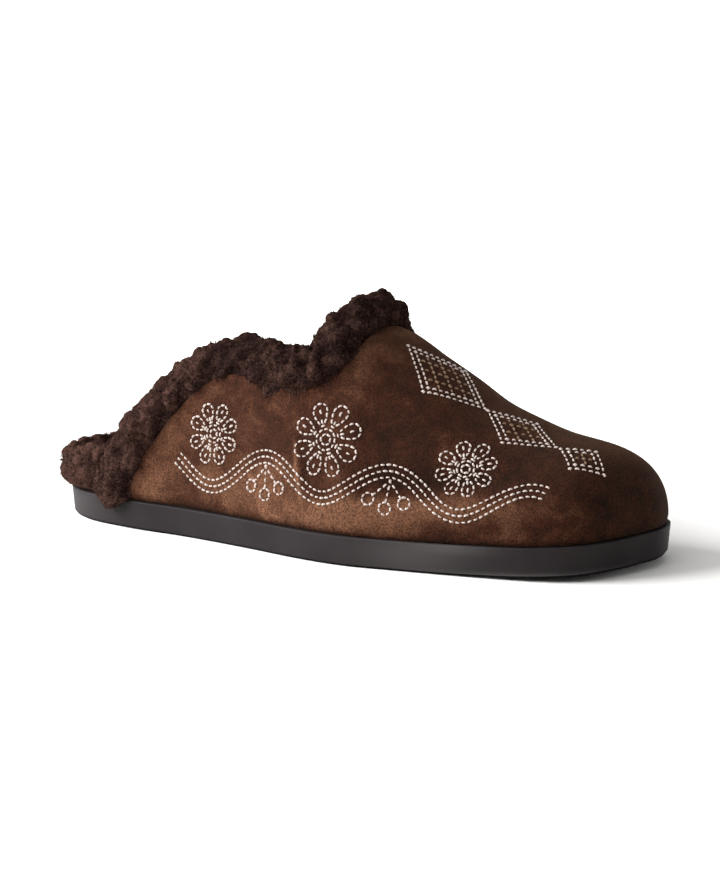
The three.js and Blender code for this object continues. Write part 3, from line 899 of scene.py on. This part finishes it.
def stitchTree():
    floats = dict.fromkeys(embroidery["sizes"], "Float")
    tree, given = startTree("runningStitch", {
        "Lines": "Geometry", **floats, "Seed": "Int", "Thread": "Material"}, "Stitches")
    # one stitch: thread arched out of the suede and back into it
    back, dip, peak = (
        addNode(tree, "ShaderNodeMath", {0: given[name], 1: factor}, operation="MULTIPLY")
        for name, factor in (("Half Stitch", -1.0), ("Lift", -1.0), ("Lift", embroidery["peak"])))
    start = addNode(tree, "ShaderNodeCombineXYZ", {"X": back, "Z": dip})
    middle = addNode(tree, "ShaderNodeCombineXYZ", {"Z": peak})
    end = addNode(tree, "ShaderNodeCombineXYZ", {"X": given["Half Stitch"], "Z": dip})
    arch = addNode(tree, "GeometryNodeCurveQuadraticBezier", {
        "Resolution": 4, "Start": start, "Middle": middle, "End": end})
    strand = addNode(tree, "GeometryNodeCurvePrimitiveCircle", {
        "Resolution": 6, "Radius": given["Thread Radius"]})
    stitch = addNode(tree, "GeometryNodeCurveToMesh", {
        "Curve": arch, "Profile Curve": strand, "Fill Caps": True})
    # set along the lines, standing on the suede
    line = addNode(tree, "GeometryNodeMeshToCurve", {"Mesh": given["Lines"]})
    spots = addNode(tree, "GeometryNodeResampleCurve", {
        "Curve": line, "Length": given["Pitch"]}, mode="LENGTH")
    normal = addNode(tree, "GeometryNodeInputNamedAttribute", {
        "Name": "suedeNormal"}, data_type="FLOAT_VECTOR")
    along = addNode(tree, "GeometryNodeInputTangent")
    wobble = addNode(tree, "FunctionNodeRandomValue", {
        0: [-embroidery["wobble"]] * 3, 1: [embroidery["wobble"]] * 3, "Seed": given["Seed"]},
        data_type="FLOAT_VECTOR")
    bent = addNode(tree, "ShaderNodeVectorMath", {0: along, 1: wobble}, operation="ADD")
    stand = addNode(tree, "FunctionNodeAxesToRotation", {
        "Primary Axis": normal, "Secondary Axis": bent}, primary_axis="Z", secondary_axis="X")
    size = addNode(tree, "FunctionNodeRandomValue", {
        **embroidery["sizeRange"], "Seed": given["Seed"]}, data_type="FLOAT")
    sewn = addNode(tree, "GeometryNodeInstanceOnPoints", {
        "Points": spots, "Instance": stitch, "Rotation": stand, "Scale": size.outputs[1]})
    real = addNode(tree, "GeometryNodeRealizeInstances", {"Geometry": sewn})
    return endTree(tree, real, given["Thread"])


stitchNodes = stitchTree()


def makeStitches(colour, laid):
    points, edges, normals = [], [], []
    for run, closed in laid:
        start = len(points)
        points += [spot for spot, _ in run]
        normals += [normal for _, normal in run]
        edges += [(start + k, start + k + 1) for k in range(len(run) - 1)]
        edges += [(start + len(run) - 1, start)] * closed
    mesh = bpy.data.meshes.new(colour + "Stitches")
    mesh.from_pydata(points, edges, [])
    layer = mesh.attributes.new("suedeNormal", "FLOAT_VECTOR", "POINT")
    layer.data.foreach_set("vector", np.array(normals, np.float32).ravel())
    piece = addObject(mesh.name, mesh)
    applyTree(piece, stitchNodes, {
        **{name: size * mm for name, size in embroidery["sizes"].items()},
        "Seed": embroidery["seed"], "Thread": threadMaterial(colour)})
    return piece


def makeEmbroidery():
    lean, tilt, turn = (math.radians(a) for a in (scroll["lean"], medallion["tilt"], medallion["turn"]))
    up = Vector((-math.cos(tilt), 0, math.sin(tilt)))
    right = Vector((0, math.cos(turn), 0)) + Vector((math.sin(tilt), 0, math.cos(tilt))) * math.sin(turn)
    cream, tan = (onSuede(lines, medallion["at"], right, up) for lines in medallionLines())
    for side, out in (("outer", -1), ("inner", 1)):
        right = Vector((-out, 0, 0))
        up = Vector((0, -out * math.sin(lean), math.cos(lean)))
        lines = [(line * (-out, 1), closed) for line, closed in sideLines(side)]
        cream += onSuede(lines, (0, out * scroll["panelAt"], 0), right, up)
    return makeStitches("cream", cream), makeStitches("tan", tan)


stitchPieces = makeEmbroidery()
print("embroidery:", [triangles(piece) for piece in stitchPieces], "triangles")


# Fleece: a lumpy skin of knobs, and curls grown on it

pile = {
    "knobRadius": 2.7,  # mm, one knob of the fleece
    "knobSpacing": 1.5,  # of its radius
    "knobSpread": 0.4,  # share that the knobs differ by
    "knobHeight": 1.6,
    "knobSunk": 0.4,  # share of its height that lies under the skin
    "warp": (5, 2),  # mm, size and amount of the knobs' uneven shape
    "swell": (11, 1.1),  # mm, size and height of the slow lumps
    "crumb": (1.7, 0.6),  # mm, size and height of the crumbs on the knobs
    "knobPaintedLight": (0.7, 0.4),  # painted light, high on the knob tops and low as painted shade in the clefts: of the knobs, and of the crumbs on them
    # mm: a curl stands as a small arch and runs sideways by its reach, a hair is drawn thicker than real
    "sizes": {
        "Loop Radius": 0.9, "Strand Radius": 0.24, "Reach": 0.7, "Hair Length": 2.4, "Hair Radius": 0.15},
    "shape": {"Turns": 0.58, "Lean": 1.2},
    "coilEnd": 0.5,  # mm, radius that a curl closes to
    "tipPaintedLight": (0.4, 0.5),  # painted light, lower as painted shade at a curl's foot: rise along a curl, and at its foot
    "taper": -0.4,  # share that a curl thins by to its tip
    # painted light on the loose hairs
    "hairPaintedLight": 0.75,
    "sizeRange": {2: 0.65, 3: 1.35, "Seed": 5},
    "tint": {2: -0.35, 3: 0.35, "Seed": 9},  # from curl to curl
    "seed": 4,
}
noise.seed_set(pile["seed"])


def finder(points):
    tree = KDTree(len(points))
    for k, point in enumerate(points):
        tree.insert(point, k)
    tree.balance()
    return tree


def spacedPoints(points, spacing, seed):
    # points at least a spacing apart, taken in a fixed random order
    tree = finder(points)
    free, kept = np.ones(len(points), bool), []
    for i in np.random.default_rng(seed).permutation(len(points)):
        if free[i]:
            kept.append(points[i])
            free[[k for _, k, _ in tree.find_range(points[i], spacing)]] = False
    return kept


def knobs(points, normals, seed):
    # slow lumps, uneven round knobs and crumbs on them, on points in millimetres; also painted light, high on
    # the knob tops and low as painted shade between them
    size, amount = pile["warp"]
    warped = [Vector(p) + amount * noise.noise_vector(Vector(p) / size) for p in points]
    middles = spacedPoints(warped, pile["knobSpacing"] * pile["knobRadius"], seed)
    spread = np.random.default_rng(seed).uniform(-1, 1, len(middles))
    radius = pile["knobRadius"] * (1 + pile["knobSpread"] * spread)
    tree = finder(middles)
    found = [tree.find(p)[1:] for p in warped]
    own, distance = np.array([k for k, _ in found]), np.array([d for _, d in found])
    dome = bell(distance / radius[own]) * radius[own] / pile["knobRadius"]
    crumb, swell = (
        np.array([noise.noise(Vector(p) / pile[name][0]) for p in points]) for name in ("crumb", "swell"))
    proud = pile["knobHeight"] * (dome - pile["knobSunk"]) + pile["crumb"][1] * crumb
    proud += pile["swell"][1] * swell
    knobLight, crumbLight = pile["knobPaintedLight"]
    return points + normals * proud[:, None], knobLight * np.clip(dome + crumbLight * crumb, 0, 1)


def curlTree():
    floats = dict.fromkeys(("Curls Per Area", "Hairs Per Area", *pile["sizes"], *pile["shape"]), "Float")
    tree, given = startTree("fleeceCurls", {"Skin": "Geometry", **floats, "Seed": "Int"}, "Fleece")
    # one curl: a tapering strand bent over into an arch
    coil = addNode(tree, "GeometryNodeCurveSpiral", {
        "Resolution": 7, "Rotations": given["Turns"], "Start Radius": given["Loop Radius"],
        "End Radius": pile["coilEnd"] * mm, "Height": given["Reach"]})
    along = addNode(tree, "GeometryNodeSplineParameter")
    # painted light along a curl, in painted shade at its foot
    light, taper = (
        addNode(tree, "ShaderNodeMath", {0: along, 1: change, 2: start}, operation="MULTIPLY_ADD")
        for change, start in (pile["tipPaintedLight"], (pile["taper"], 1.0)))
    marked = addNode(tree, "GeometryNodeStoreNamedAttribute", {
        "Geometry": coil, "Name": "paintedTipLight", "Value": light}, data_type="FLOAT", domain="POINT")
    strand = addNode(tree, "GeometryNodeCurvePrimitiveCircle", {
        "Resolution": 3, "Radius": given["Strand Radius"]})
    curl = addNode(tree, "GeometryNodeCurveToMesh", {
        "Curve": marked, "Profile Curve": strand, "Scale": taper, "Fill Caps": True})
    # one loose hair: a thin spike
    spike = addNode(tree, "GeometryNodeMeshCone", {
        "Vertices": 3, "Radius Top": 0.0, "Radius Bottom": given["Hair Radius"],
        "Depth": given["Hair Length"]})
    hair = addNode(tree, "GeometryNodeStoreNamedAttribute", {
        "Geometry": spike, "Name": "paintedTipLight", "Value": pile["hairPaintedLight"]}, data_type="FLOAT", domain="POINT")
    # where they grow: a curl has both feet on the skin and leans to one side, a hair stands out
    grown = addNode(tree, "GeometryNodeInputNamedAttribute", {"Name": "pile"}, data_type="FLOAT")
    planted = addNode(tree, "GeometryNodeJoinGeometry")
    for shape, perArea, axes in ((curl, "Curls Per Area", "XY"), (hair, "Hairs Per Area", "ZX")):
        density = addNode(tree, "ShaderNodeMath", {0: given[perArea], 1: grown}, operation="MULTIPLY")
        spots = addNode(tree, "GeometryNodeDistributePointsOnFaces", {
            "Mesh": given["Skin"], "Density": density, "Seed": given["Seed"]})
        normal = spots.outputs["Normal"]
        spin = addNode(tree, "FunctionNodeRandomValue", {
            0: (-1, -1, -1), 1: (1, 1, 1), "Seed": given["Seed"]}, data_type="FLOAT_VECTOR")
        footing = addNode(tree, "ShaderNodeVectorMath", {0: normal, 1: spin}, operation="CROSS_PRODUCT")
        pushed = addNode(tree, "ShaderNodeVectorMath", {0: spin, "Scale": given["Lean"]}, operation="SCALE")
        upright = addNode(tree, "ShaderNodeVectorMath", {0: normal, 1: pushed}, operation="ADD")
        first, second = (footing, upright) if axes == "XY" else (upright, footing)
        turned = addNode(tree, "FunctionNodeAxesToRotation", {
            "Primary Axis": first, "Secondary Axis": second}, primary_axis=axes[0], secondary_axis=axes[1])
        size = addNode(tree, "FunctionNodeRandomValue", pile["sizeRange"], data_type="FLOAT")
        grownShapes = addNode(tree, "GeometryNodeInstanceOnPoints", {
            "Points": spots, "Instance": shape, "Rotation": turned, "Scale": size.outputs[1]})
        feed(tree, planted, {0: grownShapes})
    # a random tint from curl to curl, plus the skin's shade, which on the cuff is painted light and shade
    tint = addNode(tree, "FunctionNodeRandomValue", pile["tint"], data_type="FLOAT")
    skinShade = addNode(tree, "GeometryNodeInputNamedAttribute", {"Name": "curlTintAndPaintedLight"}, data_type="FLOAT")
    shade = addNode(tree, "ShaderNodeMath", {0: tint.outputs[1], 1: skinShade}, operation="ADD")
    tinted = addNode(tree, "GeometryNodeStoreNamedAttribute", {
        "Geometry": planted, "Name": "curlTintAndPaintedLight", "Value": shade}, data_type="FLOAT", domain="INSTANCE")
    real = addNode(tree, "GeometryNodeRealizeInstances", {"Geometry": tinted})
    joined = addNode(tree, "GeometryNodeJoinGeometry")
    for part in (real, given["Skin"]):
        feed(tree, joined, {0: part})
    return endTree(tree, joined, fleeceFinish)


curlNodes = curlTree()


def growFleece(piece, grown, share, shade):
    # curls and hairs over the painted share of the skin, so many in all, lighter where the shade is higher,
    # which on the cuff carries painted light and shade
    paint(piece, "pile", share)
    paint(piece, "curlTintAndPaintedLight", shade)
    areas = np.array([p.area for p in piece.data.polygons])
    shares = np.broadcast_to(share, len(piece.data.vertices))
    mean = np.array([shares[list(p.vertices)].mean() for p in piece.data.polygons])
    grownArea = float((areas * mean).sum())
    applyTree(piece, curlNodes, {
        "Curls Per Area": grown["curls"] / grownArea,
        "Hairs Per Area": grown["hairs"] / grownArea,
        **{name: size * mm for name, size in pile["sizes"].items()},
        **pile["shape"],
        "Seed": grown["seed"],
    })


# Cuff: the fleece rolled over the topline

roll = {
    "stations": 380,
    "sides": 72,
    "curls": 4000,
    "hairs": 8000,
    "seed": 11,
    "probe": 0.5,  # mm, to find which way the suede faces
    "smoothing": 6,
    "endSteps": 2,  # of the solid's steps, where the roll closes
    "solidSteps": 96,
    "lockHeight": 1.5,  # the solid's coarse locks
    "lockSteps": 4.3,  # of the solid's steps, from lock to lock
    "locksRound": 4,
    "drift": (0.9, 0.35),  # how far the locks stray, and how fast
    "bulge": (3, 0.9, 0.08),  # mm, on the inner side of the throat: share of the way to it, and reach
    "lap": 1.8,  # mm that a lock laps over the outer side of the suede
    "lapFrom": (105, 3),  # mm from the heel, and over which reach
    "lapTo": (125, -6),
    "lockAt": (40, 9),  # mm from the heel, a lock at each end of the roll, and its reach
    "lockBelow": (30, -16),  # mm, its top, and over which height it comes in
    "fall": (2.2, 5),  # mm that it leans out and down
    "overEdge": 4.5,  # mm that it may hang over the sole's edge
    "overFrom": (0.3, 1.2),  # mm past the edge, and over which reach
    "floorGap": 0.1,  # mm above the sole
    "tip": (37, 0.6),  # mm from the heel, and how far what hangs narrows towards it
}
rollSizes = {  # mm, by the share of the way from either end to the throat
    "along": (0, 0.15, 0.4, 0.65, 0.85, 1),
    "tall": (10.5, 9, 8, 9.6, 9.2, 8.8),
    "thick": (7.6, 7, 6.8, 6.8, 7.6, 8.4),
    "rise": (9.6, 8.4, 7.6, 7.4, 8.7, 9.4),
    "sink": (2, 2.2, 2.4, 1.6, 0, -2.2),
}
# Painted light and shade along the cuff: lighter at the heel end that faces the key light, darker where the
# roll faces up and at the throat
rollPaintedLight = {
    "along": (30, 45, 72, 82, 98, 107, 116, 134, 145),  # mm from the heel
    "shade": (0.75, 0.75, 0.8, 0.7, 0.2, 0.2, 0.6, 0.6, 0.4),
}


def wallTop(x):
    return ridge(x) - last["wall"] / 2


def middleFace(side, x, z):
    # middle of the suede wall under a point of the topline
    _, footY = soleEdge(side, x, wallMiddle)
    base = archBase(x)
    share = np.clip((z - base) / (wallTop(x) - base), 0, 1)
    across = (1 - share ** roundness(x)) ** (1 / roundness(x))
    return np.stack([x, shift(x) + (footY - shift(x)) * across, z], -1)


def faceLevel(points):
    # 1 on the middle of the suede wall, less inside it
    x, y, z = points.T
    outerFoot, innerFoot = (soleEdge(side, x, wallMiddle)[1] for side in bothSides)
    foot = np.where(y < shift(x), outerFoot, innerFoot)
    base = archBase(x)
    across = np.abs((y - shift(x)) / (foot - shift(x)))
    upward = np.maximum(0, (z - base) / (wallTop(x) - base))
    return across ** roundness(x) + upward ** roundness(x)


def cuffLine(count):
    halves = []
    for side in bothSides:
        line = toplines[side]
        end = np.argmax(line[:, 1] >= wallTop(line[:, 0]))
        halves.append(middleFace(side, line[:end + 1, 0], line[:end + 1, 1]))
    path = np.vstack([halves[0], halves[1][-2::-1]])
    way = runLength(path)
    share = np.linspace(0, 1, count)
    return share, np.stack([np.interp(share * way[-1], way, path[:, k]) for k in range(3)], 1)


def rollSkin():
    # rings of the roll with its coarse locks, then knobs on them
    share, edge = cuffLine(roll["stations"])
    steps = np.eye(3) * roll["probe"]
    out = unit(np.stack([faceLevel(edge + s) - faceLevel(edge - s) for s in steps], 1))
    way = unit(np.gradient(edge, axis=0))
    for _ in range(roll["smoothing"]):
        for lines in (out, way):
            lines[1:-1] = unit(lines[:-2] + 2 * lines[1:-1] + lines[2:])
    away = unit(np.cross(out, way))
    along = 1 - np.abs(2 * share - 1)
    size = {name: column(rollSizes, name)(along)[:, None] for name in ("tall", "thick", "rise", "sink")}
    bulge, at, reach = roll["bulge"]
    size["sink"] -= (bulge * bell((along - at) / reach) * (share > 0.5))[:, None]
    centre = edge + away * size["rise"] - out * size["sink"]
    angle = np.linspace(0, 2 * np.pi, roll["sides"], endpoint=False)[None, :]
    i = share[:, None] * roll["solidSteps"]
    drift = roll["drift"][0] * np.sin(roll["drift"][1] * i)
    lock = np.cos(2 * np.pi * i / roll["lockSteps"] + drift) * np.cos(angle * roll["locksRound"] + drift)
    fromEnd = np.minimum(np.minimum(i, roll["solidSteps"] - i), roll["endSteps"]) / roll["endSteps"]
    scale = np.sqrt(1 - (1 - fromEnd) ** 2)
    proud = roll["lockHeight"] * lock
    lap = fade(edge[:, 0], *roll["lapFrom"]) * fade(edge[:, 0], *roll["lapTo"]) * (share < 0.5)
    lap = roll["lap"] * lap[:, None] * (np.sin(angle) < 0)
    outward = (np.cos(angle) * (size["thick"] + proud) * scale)[..., None] * out[:, None]
    upward = (np.sin(angle) * (size["tall"] + proud + lap) * scale)[..., None] * away[:, None]
    rings = centre[:, None] + outward + upward
    normals = unit((np.cos(angle) / size["thick"])[..., None] * out[:, None]
                   + (np.sin(angle) / size["tall"])[..., None] * away[:, None])
    return knobs(rings.reshape(-1, 3), normals.reshape(-1, 3), roll["seed"])


def settleRoll(points):
    # a lock falls outwards at each end, then all lies flat on the sole or hangs over its edge
    x, y, z = points.T
    fall = bell((x - roll["lockAt"][0]) / roll["lockAt"][1]) * fade(z, *roll["lockBelow"])
    y += roll["fall"][0] * np.sign(y) * fall
    z -= roll["fall"][1] * fall
    reach = np.where(y < 0, soleEdge("outer", x, 0)[1] - y, y - soleEdge("inner", x, 0)[1])
    hang = roll["overEdge"] * fade(reach, *roll["overFrom"])
    z[:] = np.maximum(z, archBase(x) + roll["floorGap"] - hang)
    low = np.clip((archBase(x) - z) / roll["overEdge"], 0, 1)
    x += (roll["tip"][0] - x) * roll["tip"][1] * low


def makeCuff():
    points, dome = rollSkin()
    settleRoll(points)
    faces = gridFaces(roll["stations"], roll["sides"], closed=True)
    piece = newPiece("fleeceCuff", inFrame(points), faces)
    # painted light on the knob tops, painted shade in the clefts
    paint(piece, "paintedTipLight", dome)
    weld(piece)
    skin = surfaceOf(piece)
    # painted light and shade along the cuff
    shade = np.interp(readPoints(piece)[:, 0], rollPaintedLight["along"], rollPaintedLight["shade"])
    growFleece(piece, roll, 1.0, shade)
    return piece, skin


fleeceCuff, cuffSurface = makeCuff()
print("cuff:", triangles(fleeceCuff), "triangles")


# Footbed: fleece over a dished pad, proud of the sole round the heel

footbed = {
    "stations": 250,
    "overhang": 4,
    "openTo": 0.05,  # shares of the length
    "closedFrom": 0.15,
    "flatFrom": 14,  # mm inside the widest line
    "across": 22,
    "curls": 5000,
    "hairs": 6000,
    "seed": 23,
    "grownFrom": (1, 3),  # mm above the sole, and over which height
    "grownTo": (190, -60, 0.05),  # mm from the heel, over which reach, and the least further in
    "clear": 1.0,  # mm from the cuff
    "shade": 0.95,
    "heelRim": (30, 13, 0.28),  # the outer rim stands higher here: mm from the heel, reach and share
}
footbedSizes = {  # mm, by the share of the length
    "along": (-0.02, 0.1, 0.22, 0.4, 0.7, 1),
    "rim": (15.5, 16, 13, 9, 7, 6),
    "middle": (10, 9, 8.5, 7.5, 6.5, 6),
}
# Up the rounded edge: mm inside the widest line, and share of the rim's height
footbedEdge = ((1, 0.12), (0, 0.4), (0.6, 0.7), (2.6, 0.92), (5.5, 1), (9, 0.9))


def footbedRings():
    x = soleStations(footbed["stations"])
    mix = fade(x / length, footbed["openTo"], footbed["closedFrom"] - footbed["openTo"])
    closed = mix * mix * (3 - 2 * mix)
    inside = last["feather"] + last["wall"] + 2 * last["gap"]
    widest = -footbed["overhang"] + (inside + footbed["overhang"]) * closed
    foot = last["feather"] + (inside - last["feather"]) * closed
    base = archBase(x)
    rim, middle = (column(footbedSizes, name)(x / length) for name in ("rim", "middle"))
    at, reach, higher = footbed["heelRim"]
    halves = []
    for side in bothSides:
        tall = rim * (1 + higher * bell((x - at) / reach) * (side == "outer"))
        rows = [(foot, base)]
        rows += [(widest + inset, base + tall * height) for inset, height in smoothLine(footbedEdge, steps=3)]
        rows += [(widest + footbed["flatFrom"], base + middle)]
        halves.append(np.stack([np.stack([*soleEdge(side, x, inset), z], -1) for inset, z in rows], 1))
    outer, inner = halves
    w = np.linspace(0, 1, footbed["across"])[None, 1:-1, None]
    return np.concatenate([outer, outer[:, -1:] * (1 - w) + inner[:, -1:] * w, inner[:, ::-1]], 1)


def makeFootbed():
    rings = footbedRings()
    faces = gridFaces(*rings.shape[:2], closed=True)
    piece = newPiece("fleeceFootbed", inFrame(rings.reshape(-1, 3)), faces)
    weld(piece, distance=0.3)
    own, normals = readPoints(piece), readNormals(piece)
    height = fade(own[:, 2] - archBase(own[:, 0]), *footbed["grownFrom"])
    lumped, dome = knobs(own, normals * height[:, None], footbed["seed"])
    points = inFrame(lumped)
    for k, point in enumerate(points):  # the cuff's ends press into it
        spot, way, _, _ = cuffSurface.find_nearest(Vector(point))
        if (Vector(point) - spot).dot(way) < 0:
            points[k] = spot + way * footbed["clear"] * mm
    writePoints(piece, points)
    # painted light on the knob tops, painted shade in the clefts
    paint(piece, "paintedTipLight", dome)
    growFleece(piece, footbed, height * fade(own[:, 0], *footbed["grownTo"]), footbed["shade"])
    return piece


fleeceFootbed = makeFootbed()
print("footbed:", triangles(fleeceFootbed), "triangles")


# Lining: fleece inside the suede

lining = {
    "from": 0.2,  # shares of the length
    "to": 0.97,
    "columns": 150,
    "toeColumns": 40,
    "rows": 34,
    "below": 0.93,  # share of the topline's height
    "gap": 0.3,  # mm inside the suede
    "thick": 3.2,
    "hide": 1.5,  # mm, the skin that the fleece grows on
    "curls": 3000,
    "hairs": 4000,
    "seed": 31,
    "grownTo": (200, -60, 0.05),  # mm from the heel, over which reach, and the least further in
    "shade": 0.5,
}


def makeLining():
    fan = last["fanFrom"]
    x = np.concatenate([
        np.linspace(lining["from"], fan, lining["columns"]) * length,
        (fan + (lining["to"] - fan) * np.linspace(0, 1, lining["toeColumns"])[1:]) * length,
    ])
    piece = makeShell("fleeceLining", x, lining["rows"], last["wall"] + lining["gap"], lining["below"])
    weld(piece, distance=0.2)
    piece.data.flip_normals()
    own, normals = readPoints(piece), readNormals(piece)
    lumped, dome = knobs(own + normals * lining["thick"], normals, lining["seed"])
    writePoints(piece, inFrame(lumped))
    # painted light on the knob tops, painted shade in the clefts
    paint(piece, "paintedTipLight", dome)
    addWall(piece, lining["hide"])
    growFleece(piece, lining, fade(readPoints(piece)[:, 0], *lining["grownTo"]), lining["shade"])
    return piece


fleeceLining = makeLining()
print("lining:", triangles(fleeceLining), "triangles")


# Light and floor

studio = {
    "floor": "#f3f2f0",
    "floorSize": 16,  # m
    "floorRoughness": 0.6,
    "glow": {"From Min": 0.12, "From Max": 0.6, "To Max": 1.8},  # m, brighter away from the shoe
    "wall": {"From Max": 0.12, "To Min": 2.0, "To Max": 0.32},  # the pale wall's height, its light, the sky's
    "lights": {  # mm
        "keySoftbox": {"azimuth": -56, "elevation": 30, "distance": 1500, "size": 1300, "watts": 66},
        "overhead": {"azimuth": 0, "elevation": 80, "distance": 1600, "size": 1600, "watts": 5.5},
    },
}


def makeFloor():
    r = studio["floorSize"] / 2
    floor = newPiece("floor", [(-r, -r, 0), (r, -r, 0), (r, r, 0), (-r, r, 0)], [(0, 1, 2, 3)], smooth=False)
    material, tree, _ = startMaterial("paleFloor", studio, ())
    place = tree.nodes["Texture Coordinate"].outputs["Object"]
    away = addNode(tree, "ShaderNodeVectorMath", {0: place}, operation="LENGTH").outputs["Value"]
    glow = addNode(tree, "ShaderNodeMapRange", {"Value": away, **studio["glow"]})
    colour = linear(studio["floor"])
    feed(tree, tree.nodes["Principled BSDF"], {
        "Base Color": colour, "Emission Color": colour, "Emission Strength": glow,
        "Roughness": studio["floorRoughness"]})
    floor.data.materials.append(material)


def makeStudio():
    makeFloor()
    world = bpy.data.worlds.new("studio")
    world.use_nodes = True
    tree = world.node_tree
    way = addNode(tree, "ShaderNodeTexCoord").outputs["Generated"]
    height = addNode(tree, "ShaderNodeSeparateXYZ", {0: way}).outputs["Z"]
    glow = addNode(tree, "ShaderNodeMapRange", {"Value": height, **studio["wall"]})
    feed(tree, tree.nodes["Background"], {"Strength": glow, "Color": (1, 1, 1, 1)})
    bpy.context.scene.world = world
    for name, light in studio["lights"].items():
        lamp = addObject(name, bpy.data.lights.new(name, "AREA"))
        lamp.data.shape = "DISK"
        lamp.data.size = light["size"] * mm
        lamp.data.energy = light["watts"]
        standOff(lamp, light)
    bpy.context.scene.view_settings.view_transform = "Standard"


makeStudio()


# Which solid each piece stands for

for piece, node, slot in (
    (rubberSole, "outsole", "rubber_sole"),
    (suedeUpper, "upper", "suede"),
    (fleeceCuff, "cuff", "fleece_cuff"),
    (fleeceFootbed, "insole", "fleece_footbed"),
):
    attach(piece, "root")
    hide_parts(node)
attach(fleeceLining, "root")
for piece in stitchPieces:
    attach(piece, "root")
